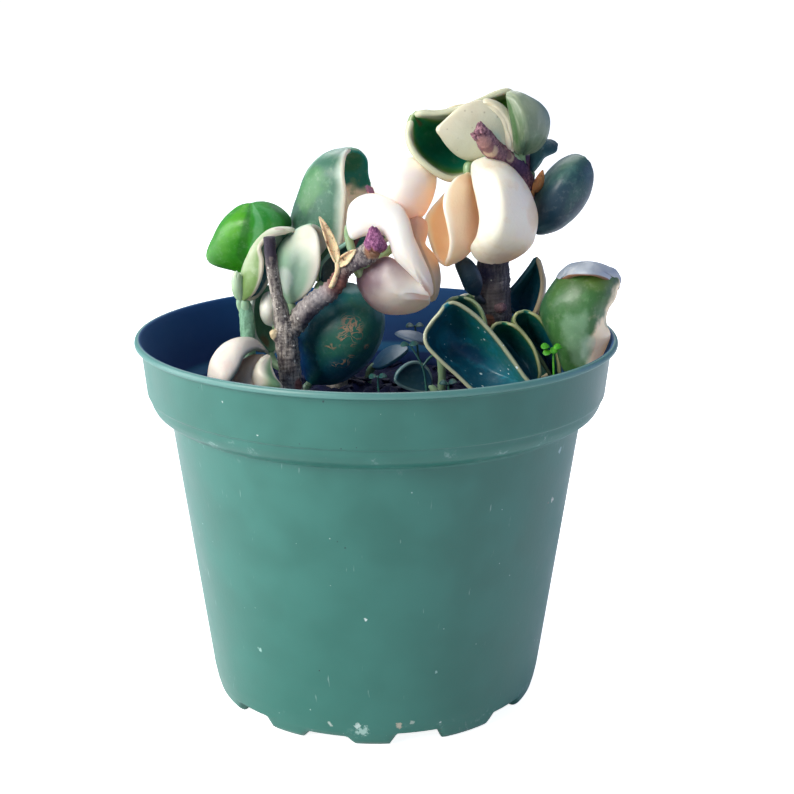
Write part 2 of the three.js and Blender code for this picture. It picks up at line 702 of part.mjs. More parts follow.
for (const [name, { slot, from, lobes }] of Object.entries(BRACTS)) {
  const blades = lobes.map((lobe) => bladeSolid({ ...lobe, small: true, thickness: BRACT.thickness }));
  const stalk = stalkSolid({ ...lobes[0], from }, BRACT.stalkRadius, 0);
  const whole = blades.reduce((all, one) => all.add(one), stalk);
  place(name, largest(whole.subtract(aroundStems)), slot);
}

for (const [name, { stem, branch, leaflets }] of Object.entries(WEEDS)) {
  const thread = (points, extra) => (
    limb(points, points.map(() => WEED.radius), { sides: WEED.sides, steps: 1, extra })
  );
  let weed = thread(stem, 0);
  if (branch) weed = weed.add(thread(branch, 0));
  for (const { at, turn } of leaflets) {
    const leaflet = new THREE.SphereGeometry(1, 6, 4).scale(WEED.reach, WEED.width, WEED.thickness);
    leaflet.rotateZ(THREE.MathUtils.degToRad(turn)).translate(...at);
    weed = weed.add(solidOf(leaflet));
  }
  place(name, weed, 'weed_green');
  holes.push(thread(stem, GAP));
}

place('soil', soilSolid(holes), 'soil');

export default plant;
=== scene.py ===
import math

import bmesh
import bpy
import numpy as np
from mathutils import Matrix, Vector, noise


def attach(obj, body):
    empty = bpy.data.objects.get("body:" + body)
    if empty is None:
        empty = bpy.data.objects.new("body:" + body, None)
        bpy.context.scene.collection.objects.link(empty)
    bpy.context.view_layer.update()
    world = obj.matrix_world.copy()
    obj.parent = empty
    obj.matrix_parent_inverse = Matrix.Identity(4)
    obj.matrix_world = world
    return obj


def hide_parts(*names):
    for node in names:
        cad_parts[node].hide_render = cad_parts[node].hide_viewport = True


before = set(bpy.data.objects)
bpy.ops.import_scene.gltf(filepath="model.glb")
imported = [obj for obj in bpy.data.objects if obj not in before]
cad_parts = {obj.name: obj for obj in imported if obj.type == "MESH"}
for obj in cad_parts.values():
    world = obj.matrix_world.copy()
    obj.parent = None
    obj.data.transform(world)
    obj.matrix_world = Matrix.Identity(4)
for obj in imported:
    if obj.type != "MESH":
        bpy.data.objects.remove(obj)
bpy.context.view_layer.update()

# A potted hoya: thick folded leaves with cream edges on short woody stems, in a green nursery pot.
# Sizes and places are written in millimetres, as on the drawing, and MM turns them into metres.

MM = 0.001

# ---------- camera: where the photo was taken from ----------

CAMERA_PLACE = (0, -494.4, 230.2)
CAMERA_PITCH = 15.13  # degrees below the horizon
FOCAL_PIXELS = 1600
POT_AXIS_PIXEL = 376  # the photo's column that the pot's axis stands in
PHOTO_SIZE = 794  # pixels, across and down
SENSOR = 36

# ---------- pot and soil ----------

POT = {
    "height": 118, "rim_radius": 76, "collar_top": 74, "collar_bottom": 72.3, "collar_depth": 17.2,
    "shoulder_radius": 65.3, "shoulder_depth": 24.8, "foot_radius": 51.5, "foot_height": 5,
    "floor": 1.5, "wall": 1.3, "notch_angle": 16.5, "steps": 300,
    "notches": [  # the middle of each, in degrees from the front, and its depth as a share
        (-48, 0.9), (-17, 0.5), (14.5, 1.0), (52, 0.9), (88, 1.0), (124, 0.9), (160, 1.0), (196, 0.8),
        (232, 1.0), (270, 0.9),
    ],
    "drain_holes": 5, "drain_radius": 4, "drain_circle": 34, "foot_ring_inside": 40, "out_of_round": 0.003,
    "inner_corner": 11,  # the level where the inside of the wall meets the curve to its floor
}
SOIL = {
    "top": 92, "bottom": 6.8, "lump": 1.3, "rings": 56, "steps": 150, "level_edge": 64, "chips": 330,
    "chips_within": 62,
}

# ---------- stems ----------
# Each run is its points and its radii, spread evenly over its length. rings is how ridged its bark is.
# tip_colour is the share of the run where the colour of its tip starts, and -1 gives it to all of it.

STEMS = {
    "stem_left": [
        {
            "at": [
                (-25, 0, 68), (-26.9, 0, 93.9), (-27.1, 0, 99.7), (-27.8, 0, 108.7), (-28.5, 0, 116.9),
                (-28.4, 0, 122.1),
            ],
            "radius": [4.2, 3.9, 3.6, 3.5, 3.7, 3.4], "rings": 0.04,
        },
        {
            "at": [
                (-29, 0, 118.9), (-30.2, -1, 125.2), (-31.5, -1.5, 132.5), (-32.4, -2.5, 139.8),
                (-32.9, -3, 145.4), (-33, -3, 148.7),
            ],
            "radius": [3.2, 2.2, 1.9, 1.9, 1.9, 1.9], "rings": 0.03,
        },
        {
            "at": [
                (-28.2, 0, 117.7), (-25.4, 0, 120.3), (-23, -1, 124.2), (-18.8, -2, 128.3),
                (-15, -3, 131.2), (-12.1, -4, 134.5), (-10.3, -4.5, 138), (-8.1, -5, 140.3),
                (-5.6, -6, 142.3), (-2.8, -7, 144.1), (-0.8, -8, 146.3),
            ],
            "radius": [3.6, 3.1, 3.1, 3.1, 3, 2.7, 2.5, 2.5, 2.8, 3.3, 2.9], "rings": 0.16,
            "tip_colour": 0.92,
        },
        {
            "at": [(-30.7, -1, 116.4), (-32.2, -2, 117.7), (-32.9, -2.5, 118.4)],
            "radius": [2.2, 1.6, 0.9], "rings": 0.02,
        },
    ],
    "stem_right": [
        {
            "at": [
                (38, 17, 68), (39.8, 16, 107.6), (39, 16, 116.9), (38.3, 15, 124.5), (37.8, 15, 131.8),
                (38, 15, 138.2), (41.8, 15, 144.5), (46, 14, 151.9), (48.5, 13, 156.9),
            ],
            "radius": [5.2, 5.2, 5.3, 5.4, 5.5, 5.1, 4.3, 3.3, 2.8], "rings": 0.025, "tip_colour": 0.75,
        },
        {
            "at": [
                (48.8, 13, 155.6), (47.5, 12, 162.4), (44.7, 10, 168.1), (40.3, 6, 172.1),
                (35.9, 1, 175.4), (33.4, -3, 178.5), (31.6, -6, 181.3),
            ],
            "radius": [2.8, 3.1, 3.1, 3.1, 3.2, 2.9, 2.3], "rings": 0.05, "tip_colour": -1,
        },
        {
            "at": [(48.6, 13, 158.2), (47, 13, 165.3), (46.4, 12, 172.2)],
            "radius": [2.5, 2.3, 2], "rings": 0.04, "tip_colour": -1,
        },
        {
            "at": [(37.2, 14, 123.8), (39.7, 11, 123.5), (41.1, 9.5, 123.7)],
            "radius": [2.6, 2.2, 1.3], "rings": 0.02, "tip_colour": -1,
        },
    ],
    "stem_young": [
        {
            "at": [(-39, 3, 72), (-41, 4, 107.7), (-40.9, 4, 116), (-41.3, 4.5, 122.4), (-42, 5, 126.7)],
            "radius": [2.5, 2.5, 2.4, 2.3, 1.8], "rings": 0.01,
        },
    ],
    "stem_low": [
        {
            "at": [(52, -5, 74), (52, -6, 92), (52, -8, 98)],
            "radius": [3.2, 3.1, 2.6], "rings": 0.05,
        },
    ],
    "stem_back": [
        {
            "at": [(-13, 30, 68), (-13, 30, 92), (-13, 29.5, 113), (-12, 28, 133)],
            "radius": [3.6, 3.5, 3.2, 2.6], "rings": 0.06,
        },
    ],
    "shoot_tip": [
        {
            "at": [
                (-9, 2.5, 139.5), (-6, 5, 147), (-0.6, 7, 157.2), (-0.9, 6, 160.3), (-1.6, 6, 161.9),
                (-3.1, 6, 163.3),
            ],
            "radius": [0.9, 0.8, 0.8, 1.2, 1.1, 0.5], "rings": 0.02,
        },
    ],
}

# ---------- leaves ----------
# root is where the stalk starts. A plain leaf has the ends of its midrib as base and tip, the middle of
# the midrib as back, and the steps from there to its two edges, where it is widest, as left and right.
# A drawn leaf has its left edge, its midrib and its right edge as lines, from the base to the tip.
# small is a thinner blade. Flaps are folded parts with a finish of their own.

OUTLINES = {  # where a leaf is widest, as a share of its length, and how pointed its ends are
    "round": (0.48, 0.5),
    "oval": (0.41, 0.7),
}

LEAVES = {
    "leaf_left_high": {
        "root": (-41, 5, 123),
        "lines": [
            [
                (-43.1, 20.3, 133.5), (-47, 22, 134.5), (-54.7, 25, 137.1), (-52.1, 23, 145),
                (-48.9, 22, 150.3), (-44, 21, 154.6), (-40.3, 19.2, 155.9),
            ],
            [(-42.3, 20, 133.3), (-41.1, 14, 142.5), (-40, 13, 150.7), (-39.9, 19, 156.1)],
            [
                (-41.9, 19.5, 134.4), (-39.8, 17, 140.3), (-36.2, 17, 144.5), (-31.9, 19, 146.7),
                (-28.4, 22, 147.8), (-28.3, 23, 150.1), (-31.5, 22, 154), (-35.8, 20, 156.1),
                (-39.5, 19.1, 156.1),
            ],
        ],
    },
    "leaf_left_curl": {
        "root": (-41, 4.5, 122),
        "lines": [
            [
                (-41.4, 3.7, 127.2), (-38.2, 2, 130), (-35.7, 1.5, 135.5), (-35.2, 2, 140.6),
                (-36.1, 2.5, 144.3), (-34.5, 3.5, 146.8), (-30.6, 5, 148.1), (-27.1, 7.7, 148.4),
            ],
            [
                (-42, 4, 126.7), (-42.6, 5, 129.2), (-42.7, 5.5, 131.9), (-40.5, 6, 139.4),
                (-37.1, 7, 145.1), (-32.3, 8, 148.9), (-26.7, 8, 148.4),
            ],
            [
                (-41.2, 5, 126.9), (-37.2, 10, 127.7), (-33.3, 13, 133.7), (-30, 14, 140.8),
                (-26.3, 13, 145.9), (-25.6, 11, 148), (-26.6, 8.3, 148.4),
            ],
        ],
    },
    "leaf_left_small": {
        "root": (-41, 4.5, 121), "small": True,
        "lines": [
            [(-43.4, 4, 126.8), (-44.7, 4, 129), (-45.2, 4, 133), (-44.8, 3.5, 135.9), (-44, 2.6, 137)],
            [(-43.2, 4, 126.4), (-43.9, 2, 131.8), (-43.9, 2.5, 137.1)],
            [
                (-43.1, 3.9, 126.7), (-42.3, 3.5, 128.3), (-42.2, 3.5, 132.3), (-42.8, 3.4, 135.5),
                (-43.8, 2.6, 136.9),
            ],
        ],
    },
    "leaf_fork_pale": {
        "root": (-27, 0, 119),
        "lines": [
            [
                (-26.4, 5.5, 126), (-23.3, 3, 128), (-19.6, 2, 132.6), (-17.6, 2, 138.2),
                (-17.4, 3, 142.8), (-17.9, 5, 146.8), (-18.8, 7, 148.9), (-20.3, 8.8, 150.2),
            ],
            [
                (-27, 6, 125.6), (-29.8, 9, 130.8), (-30.9, 11, 137.7), (-29.9, 12, 143.2),
                (-26, 11, 147.4), (-20.5, 9, 150.4),
            ],
            [
                (-26.6, 7.3, 125.8), (-24.6, 14, 126.9), (-19.8, 16, 133.1), (-16.8, 15, 138.2),
                (-15.4, 14, 142.5), (-16.1, 13, 146.7), (-18.4, 11, 149.6), (-20.3, 9.2, 150.3),
            ],
        ],
    },
    "leaf_fork_white": {
        "root": (-27, 1, 115), "small": True,
        "lines": [
            [
                (-32.7, 7.2, 118.3), (-35.3, 8, 119.2), (-36.6, 9, 123.9), (-35.6, 9, 127.9),
                (-33.8, 7.2, 129.4),
            ],
            [(-32.2, 7, 118.1), (-34.5, 3.5, 124.2), (-33.6, 7, 129.6)],
            [
                (-32.1, 7, 118.4), (-31.6, 7, 120.2), (-31.2, 8, 124.1), (-31.9, 8, 127.7),
                (-33.4, 7.1, 129.4),
            ],
        ],
    },
    "leaf_left_low": {
        "root": (-26, 1, 105),
        "lines": [
            [
                (-34.3, 8.7, 108.3), (-36.5, 7, 111.1), (-38.9, 7, 115.3), (-39.8, 8, 120),
                (-39.8, 9, 124.7), (-38.9, 11, 128.4), (-35.4, 12.8, 130.2),
            ],
            [(-33.9, 9, 107.8), (-35.2, 12, 114.1), (-35.5, 13, 122.2), (-35, 13, 130.4)],
            [
                (-33.4, 9.2, 108.4), (-30.7, 10, 111.3), (-29, 11, 117.7), (-28.6, 12, 124),
                (-31, 13, 129.6), (-34.6, 13, 130.3),
            ],
        ],
    },
    "leaf_fork_dark": {
        "root": (-17, -1, 130),
        "lines": [
            [
                (-17.7, 6.3, 132.8), (-17.4, 8, 137.9), (-13.8, 9, 141.7), (-10.2, 9, 144.1),
                (-6.7, 9, 146.9), (-3.6, 9, 147.9),
            ],
            [(-17.8, 6, 131.8), (-13.1, 11, 135.7), (-7.5, 12, 142.4), (-3.2, 9, 148)],
            [(-17, 6.3, 131.7), (-13.1, 8, 131.4), (-6.7, 9, 136.9), (-2.7, 9, 144.1), (-3.2, 9, 147.6)],
        ],
    },
    "leaf_scarred": {
        "root": (-24, 1, 96),
        "lines": [
            [
                (-22.1, 14.3, 98.1), (-24.3, 16, 101.4), (-25.8, 17, 107.9), (-24.9, 17, 114.6),
                (-20.7, 17, 121.3), (-14.6, 17, 127.6), (-9.7, 15.2, 130.5),
            ],
            [
                (-21.7, 14, 97.5), (-14.8, 6, 107.2), (-10.7, 3, 116.2), (-8.3, 6, 124.5),
                (-9.1, 15, 130.8),
            ],
            [
                (-20.4, 14, 97.5), (-13.5, 14, 97.5), (-6.1, 14, 101.5), (-0.7, 14, 107.8),
                (2, 15, 115.1), (1.7, 16, 121.5), (-2.8, 16, 127.8), (-8.5, 15.1, 130.5),
            ],
        ],
    },
    "leaf_rim_cream": {
        "root": (-52, -17, 87),
        "lines": [
            [
                (-51.1, -15.9, 104.4), (-50.7, -10, 106.3), (-47.4, -6, 111.8), (-42.9, -3, 113.5),
                (-38.4, 0, 112.8), (-35.6, -0.9, 111.9),
            ],
            [
                (-51.2, -17, 104), (-49.4, -14, 112.2), (-44.6, -10, 116.6), (-39.2, -5, 116.2),
                (-35.3, -1, 111.8),
            ],
            [
                (-50.4, -17.5, 104.1), (-46.3, -20, 104.9), (-42.9, -18, 109.2), (-40.9, -14, 113),
                (-37.8, -8, 113.7), (-35.8, -3, 111.9), (-35.3, -1.2, 111.8),
            ],
        ],
    },
    "leaf_rim_inner": {
        "root": (-42, -8, 87), "small": True,
        "lines": [
            [
                (-44.3, -11, 103.1), (-44, -6, 105.3), (-41.4, -4, 108.9), (-37.5, -2, 110),
                (-34.4, -2.9, 110.6),
            ],
            [(-44.4, -12, 102.7), (-42.7, -9, 108.1), (-39.2, -6, 110.8), (-34, -3, 110.7)],
            [
                (-43.4, -12.2, 102.8), (-38, -13, 103.1), (-37.7, -11, 106.6), (-36.2, -8, 109.5),
                (-34.4, -4, 109.9), (-34, -3.1, 110.6),
            ],
        ],
    },
    "leaf_rim_small": {
        "root": (-28, -13, 87), "small": True,
        "lines": [
            [
                (-36.7, -13, 103.1), (-36, -8, 103.4), (-34.5, -7, 108), (-33.2, -8, 111.1),
                (-33.1, -8.9, 112.3),
            ],
            [(-36.8, -14, 103), (-36.9, -14, 108.2), (-35.4, -12, 111.3), (-33.1, -9, 112.4)],
            [
                (-35.6, -14.2, 103), (-29, -15, 103.2), (-30.9, -14, 106.2), (-32.3, -12, 109.3),
                (-32.6, -10, 111.2), (-33.1, -9.1, 112.3),
            ],
        ],
    },
    "leaf_cup_tall": {
        "root": (-12, 28, 131),
        "lines": [
            [
                (-18.7, 17.2, 133.4), (-13.2, 13, 136.9), (-10.7, 12, 144.4), (-9.8, 11, 152.6),
                (-9.3, 11, 160.2), (-10, 12, 166), (-9.8, 15, 170.3), (-9.1, 20, 172),
                (-8.1, 23.6, 172.5),
            ],
            [
                (-19.8, 18, 132.7), (-26.5, 24, 140.7), (-27.1, 27, 148.5), (-24.1, 29, 157.3),
                (-20.7, 29, 165.4), (-14.5, 27, 170.9), (-8, 24, 172.6),
            ],
            [
                (-18.3, 19.3, 132.5), (-10.2, 26, 131.2), (-3.6, 30, 139.7), (-0.7, 32, 149.4),
                (-0.7, 32, 156.8), (-2.4, 31, 163.5), (-2.8, 29, 168.7), (-5.2, 26, 171.8),
                (-7.7, 24.2, 172.5),
            ],
        ],
    },
    "leaf_pink_round": {
        "root": (-6, -3, 137),
        "lines": [
            [
                (9.5, 6, 152.4), (5.6, 6, 156.1), (0.3, 10, 159.8), (-0.9, 11, 163.3), (-0.3, 11, 167.7),
                (2.7, 9, 170.9), (7.6, 6.3, 171.8),
            ],
            [(10.3, 6, 151.7), (8.4, -3, 160), (8.1, -4, 166.6), (8.2, 6, 171.9)],
            [
                (10.8, 6.5, 152), (13.7, 9, 153.6), (16.4, 11, 157.3), (18.2, 12, 162.9),
                (18.1, 12, 167.2), (14.9, 9, 170.9), (8.9, 6.3, 171.8),
            ],
        ],
    },
    "leaf_hood_white": {
        "root": (-5, -4, 139),
        "lines": [
            [
                (-8.5, 3.2, 151.5), (-7.9, 4, 156.4), (-4.9, 3, 159.5), (-0.6, 2, 160.4), (4.3, 0, 159.4),
                (7.5, -2, 157.3), (9.3, -4, 154.3), (10.2, -6, 150), (12.2, -6.5, 144.9),
                (14.7, -6, 139.2), (16.4, -6, 134.2), (16.8, -7.3, 131.1),
            ],
            [
                (-8.6, 3, 150.6), (-6.5, -2, 155.9), (-1.3, -4.5, 157.6), (3.6, -7, 155.4),
                (6.8, -9.5, 151.9), (9.7, -11, 146), (12.8, -11, 139.5), (15.4, -10, 134.4),
                (16.9, -7.5, 130.8),
            ],
            [
                (-8.4, 2.5, 150.2), (-7.4, 0, 147.9), (-4.1, -2, 149.2), (-0.6, -3, 149.9),
                (2.6, -5, 149.9), (4.6, -7, 147.6), (5.8, -8, 143.5), (8.8, -8.5, 140.3),
                (12.4, -8.5, 136.7), (15.3, -8, 133.3), (16.7, -7.5, 131.1),
            ],
        ],
    },
    "leaf_bowl_white": {
        "root": (-3, -5, 141),
        "lines": [
            [
                (-4, -0.8, 138.2), (2.9, -5, 142.7), (5.5, -6.5, 142.3), (9.4, -7.5, 139.2),
                (13.4, -7.5, 135.4), (16, -8, 132.5), (16.6, -8, 130.9),
            ],
            [
                (-5.3, 0, 137.4), (-0.3, -7, 134.8), (5.5, -10, 133), (11.4, -10.5, 131.7),
                (16.7, -8, 130.7),
            ],
            [
                (-5.3, 0.5, 136.8), (-5, 3, 133.8), (-2, 4, 128.2), (3, 5, 124.7), (8.8, 6, 123.9),
                (13.8, 6, 124.6), (16.6, 4, 126.6), (16.7, -6.8, 130.3),
            ],
        ],
        "flaps": [
            {
                "look": "bowl_back",
                "lines": [
                    [
                        (11.9, 2.8, 154.2), (9.9, 2, 151.4), (10.2, 1.5, 147.2), (11.9, 1, 142.2),
                        (14.2, 0, 136.4), (16.2, -1, 131.6), (17.3, -0.1, 127.9),
                    ],
                    [
                        (12.3, 3, 154.7), (12.7, 0, 150.4), (13, -0.5, 145.8), (15.1, -1.5, 141),
                        (17.3, -2, 134.5), (17.4, 0, 127.5),
                    ],
                    [
                        (12.7, 3.2, 154.3), (15, 4, 152.1), (14.9, 4.5, 148.3), (14, 4.5, 144.8),
                        (17, 5, 141.2), (18.9, 5, 136.5), (19.2, 4, 132.3), (18.4, 3, 128.7),
                        (17.5, 0.3, 127.6),
                    ],
                ],
            },
        ],
    },
    "leaf_tan_fold": {
        "root": (46, 13, 159),
        "lines": [
            [
                (27.8, 2.7, 167.6), (24.1, -4, 167), (21.2, -8, 163.8), (20.3, -10, 159.8),
                (21.5, -10, 153.9), (22.5, -9, 148.6), (22.2, -6, 143.7), (21.5, -0.6, 139.7),
            ],
            [
                (28.5, 4, 167.7), (30.6, 4, 162.1), (31.4, 5, 155.9), (31, 6, 147.8), (27.4, 4, 142),
                (21.4, 0, 139.3),
            ],
            [
                (28.1, 5, 167.3), (25.7, 10, 165.5), (20.6, 12, 159.1), (17.3, 12, 155.3),
                (15.5, 12, 152), (16.3, 11, 147.4), (17.6, 9, 143.3), (19.3, 5, 140.2),
                (21.2, 0.5, 139.4),
            ],
        ],
    },
    "leaf_egg_white": {
        "root": (42, 10, 167),
        "lines": [
            [
                (33.5, 3, 172.2), (30.4, 3, 170.9), (29.4, 0, 169.1), (29.6, -5, 165.9),
                (30.8, -9, 160.5), (31.6, -10, 155.6), (31, -9, 150.3), (29.4, -5, 145.3),
                (31.8, -3, 141.6), (36.6, -2.1, 140.4),
            ],
            [
                (34.1, 3, 172.4), (37.1, -12, 166.8), (38.5, -15, 158.9), (37.8, -13, 150.1),
                (37.1, -2, 140.3),
            ],
            [
                (34.7, 3.2, 172.3), (37.8, 4, 171.6), (40.9, 5, 169.1), (44.2, 5, 164.4), (47, 5, 159.2),
                (48.6, 5, 153.1), (48.3, 4, 148.2), (46.3, 3, 143.7), (42.6, 2, 141.1),
                (37.6, -1.6, 140.4),
            ],
        ],
    },
    "leaf_top_cup": {
        "root": (46.5, 12, 169.5), "thickness": 2.8,
        "lines": [
            [
                (44.7, 12.7, 173.2), (40.6, 6, 169.7), (31.7, 2, 167.4), (23, -1, 166.4),
                (16.1, -2, 170.3), (11.6, -1, 174.7), (9.7, 1, 180), (10.7, 2.4, 183.8),
            ],
            [
                (45.5, 14, 173.9), (37.1, 20, 175.9), (26.5, 21, 176.7), (17.5, 17, 178.9),
                (11.1, 3, 185.5),
            ],
            [
                (45.2, 12.7, 176.4), (43.6, 6, 189.3), (40.9, 5, 192.4), (37.4, 4, 192), (31.4, 3, 189.6),
                (25.4, 2, 187.4), (18.6, 2, 186.4), (14.3, 2, 186.4), (12.1, 2.7, 185.8),
            ],
        ],
    },
    "leaf_top_pale": {
        "root": (48, 13.5, 162.5),
        "lines": [
            [
                (42.3, 6, 173.8), (42.6, 6, 177.4), (41.1, 4, 184.4), (38.2, 3, 187.9), (33, 2, 189.6),
                (27, 1, 188.5), (22.4, 0, 185.4), (18.7, 0, 181.8),
            ],
            [(42.2, 6, 173.1), (34, 1, 178.8), (26.2, 0, 181.8), (18.3, 0, 181.4)],
            [
                (41.7, 6.2, 172.9), (38.9, 7, 172), (31.9, 6, 171.6), (26.6, 4, 172.8), (22.1, 2, 176.4),
                (18.7, 0.2, 180.9),
            ],
        ],
        "flaps": [
            {
                "look": "top_ridge",
                "lines": [
                    [
                        (31.9, 1.5, 189.6), (32.8, 1.5, 189.9), (37.2, 2.5, 189), (40.9, 3.5, 185.1),
                        (42.7, 4.5, 180.1), (43.3, 5, 175.4), (42.9, 5, 174.8),
                    ],
                    [
                        (31, 1.5, 189.2), (35.7, 0.5, 188.4), (39.3, 1, 184.8), (41.1, 2, 180.2),
                        (42.5, 5, 174.1),
                    ],
                    [
                        (32.1, 1.2, 188.8), (33.2, 1, 188.5), (35.2, 1.5, 187.5), (38.2, 2, 184.2),
                        (39.9, 3, 179.7), (40.8, 4, 175.2), (41.6, 4.5, 174.6),
                    ],
                ],
            },
        ],
    },
    "leaf_top_round": {
        "root": (47.5, 10.5, 164),
        "lines": [
            [
                (45, 7.4, 173.1), (43.1, 4, 174.4), (42.2, 3, 178.6), (41.4, 2, 183.7), (40.4, 2, 189.6),
                (40, 2.9, 192),
            ],
            [(45.4, 8, 172.9), (45.9, -1, 179), (45.3, -3, 185), (43, -1, 189.9), (40, 3, 192.3)],
            [
                (46, 8, 173.1), (49.3, 8, 173.9), (51.9, 9, 176.9), (52.8, 9, 181.4), (51.7, 8, 185.1),
                (48.7, 6, 188.6), (44.2, 4, 191.4), (40.4, 3.1, 192.2),
            ],
        ],
    },
    "leaf_teal_small": {
        "root": (48, 13, 160), "small": True,
        "lines": [
            [
                (48.9, 12.3, 166.3), (48.3, 14, 168.7), (48.6, 14, 172.6), (52.2, 13, 176.3),
                (55, 13, 176.7), (57, 12.1, 175.7),
            ],
            [(49, 12, 165.9), (49.9, 12, 170.7), (52.2, 11, 174.7), (54.8, 11, 175.6), (57.2, 12, 175.6)],
            [
                (49.2, 11.7, 166.3), (50.5, 10, 168.3), (52.8, 9, 171.7), (56.4, 9, 173.6),
                (57.1, 11.7, 175.4),
            ],
        ],
    },
    "leaf_teal_long": {
        "root": (46, 13.5, 150),
        "lines": [
            [
                (49.4, 10.3, 149.7), (49.7, 12, 154), (50.6, 14, 159), (52.8, 15, 163.3),
                (55.7, 15, 167.2), (59.3, 15, 170.3), (63.1, 14, 171.8), (66.2, 11.3, 170.9),
            ],
            [(49.4, 10, 148.9), (53, 5, 155.9), (57.7, 3, 163.1), (62.6, 5, 168), (66.5, 11, 170.8)],
            [
                (49.8, 10.3, 148.7), (51.7, 12, 147.6), (56.7, 13, 148.4), (60.9, 14, 151),
                (64.9, 14, 155.4), (67.7, 14, 160.8), (68.2, 13, 166.2), (66.7, 11.2, 170.3),
            ],
        ],
    },
    "leaf_trunk_dark": {
        "root": (38, 16, 126), "small": True,
        "lines": [
            [(32.2, 8.7, 127.5), (29.3, 7, 129.3), (27.1, 7, 134.3), (25.6, 8, 138.1), (25.5, 8, 140.1)],
            [(32.8, 9, 127.1), (29.6, 5, 133.8), (27.5, 5, 138.7), (25.5, 8, 140.3)],
            [(32.9, 8.8, 127.8), (33.7, 8, 131.4), (31.8, 7, 137), (28.6, 8, 140), (25.8, 8, 140.3)],
        ],
    },
    "leaf_front_cup": {
        "root": (52, -9, 96.5), "thickness": 1.6,
        "lines": [
            [
                (42.6, -22.3, 101.8), (34.6, -24, 101.5), (24.4, -23, 109.8), (18.4, -22, 115.3),
                (15.3, -21, 118.9), (15, -20, 122.1), (17, -20, 125.8), (19.2, -20, 128.4),
                (20.6, -19.3, 130.2),
            ],
            [
                (44.1, -22, 101.9), (35.6, -8, 106.2), (27.7, -6, 114.7), (22.8, -8, 122.2),
                (21.2, -19, 130.9),
            ],
            [
                (44.8, -22, 102.5), (48.2, -22, 105.4), (45.6, -22, 108.5), (41.7, -21, 114),
                (37.2, -20, 119.9), (31.5, -19, 126.2), (27, -19, 129.8), (23.6, -19, 131.4),
                (21.9, -19, 131.1),
            ],
        ],
    },
    "leaf_front_behind": {
        "root": (38, 16, 108), "thickness": 1.4,
        "lines": [
            [
                (33.3, 3.7, 116.4), (22.8, 2, 118.2), (21, 1, 122.8), (21.9, 1, 126.4),
                (23.8, 1.5, 128.3), (26, 2.5, 128.6),
            ],
            [(35.3, 4, 116), (30.4, 11, 118.9), (27.6, 10, 123.3), (26.9, 3, 128.7)],
            [
                (35.2, 3.7, 116.8), (34.7, 2, 120.9), (32.9, 1, 125.5), (30.1, 1.5, 128),
                (27.9, 2.5, 128.5),
            ],
        ],
    },
    "leaf_front_middle": {
        "root": (51.5, -7, 94), "thickness": 1.4,
        "lines": [
            [
                (47.9, -10.5, 104.7), (40.3, -13, 112.8), (36.3, -13, 118.5), (35.7, -13, 121.6),
                (37, -13, 123.4), (38.8, -11.6, 123.4),
            ],
            [(49.4, -10, 103.1), (45.5, -3, 110.4), (41, -3, 116.7), (39.6, -11, 123.4)],
            [
                (49.7, -10.5, 103.7), (51, -13, 107), (49.4, -13, 114.6), (46.3, -12, 119.6),
                (42.7, -12, 122.7), (40.5, -11.3, 123.2),
            ],
        ],
    },
    "leaf_front_right": {
        "root": (52, -7, 93), "thickness": 1.4,
        "lines": [
            [(56.2, -1, 103.3), (46.8, -6, 118.2), (43.4, -6, 122.7), (44, -6, 125.2), (46, -4.6, 125.5)],
            [(58, 0, 100.5), (54.4, 6, 108.2), (49.5, 4, 116.9), (46.8, -4, 125.7)],
            [
                (58, -1, 101.3), (58, -6, 105.2), (57.1, -6, 112.9), (54.8, -5, 118.9), (50.5, -5, 124.2),
                (47.9, -4.3, 125.2),
            ],
        ],
    },
    "leaf_pointed": {
        "root": (39, 17, 108),
        "lines": [
            [
                (46.9, 21.7, 118.5), (43.6, 20, 121.6), (43.1, 20, 125.8), (46.1, 20, 129.8),
                (49.7, 20, 134.6), (52.4, 21, 138.2),
            ],
            [(47.5, 22, 117.9), (47.8, 27, 122), (50.4, 27, 129.5), (52.5, 21, 138.3)],
            [
                (48.1, 21, 118.3), (51, 16, 120.1), (52.6, 15, 124.1), (53.8, 16, 129.8), (53.5, 18, 134),
                (52.5, 20.9, 138.1),
            ],
        ],
    },
    "leaf_rim_tall": {
        "root": (58, -11, 87),
        "lines": [
            [
                (64.5, -13, 106.8), (60, -8, 107.1), (56.9, -6, 113.8), (53.5, -4, 120.5),
                (52.2, -3, 124.7), (53.3, -3, 129.6), (56.2, -3, 134.6), (59.7, -3, 138.5),
                (66.2, -5.7, 140.1),
            ],
            [
                (65.3, -14, 106.8), (63.9, -16, 116.2), (63.4, -17, 125.1), (64.2, -16, 132.7),
                (65.3, -12, 137.9), (66.9, -6, 140.3),
            ],
            [
                (65.8, -13.5, 107.2), (68.4, -11, 109.6), (70.6, -9, 113.6), (72.5, -7, 118.5),
                (71.3, -8, 121.7), (71, -8, 124.5), (71.9, -7, 127.3), (73.8, -6, 129.9),
                (74.6, -5, 132.6), (75.3, -4, 134.6), (73.3, -4, 137.4), (70.2, -4, 139.5),
                (67.2, -5.8, 140.2),
            ],
        ],
        "flaps": [
            {
                "look": "rim_strip",
                "lines": [
                    [
                        (56.4, -3.6, 134.6), (56.3, -4, 134.1), (60, -13.5, 138.2), (64.7, -16.5, 139.1),
                        (69.4, -13.5, 137.5), (75, -5.5, 132.5), (75.3, -4.9, 132.9),
                    ],
                    [
                        (56.6, -3, 135.3), (59.9, -11, 139.6), (65, -14, 140.7), (71, -11, 138.3),
                        (75.7, -4, 133.6),
                    ],
                    [
                        (57.4, -2.4, 136.3), (58, -2, 136.9), (60.8, -7, 140.1), (66, -9, 141.2),
                        (72.1, -7, 139), (76, -3, 135), (75.9, -3.4, 134.4),
                    ],
                ],
            },
        ],
    },
    "leaf_soil_grey": {
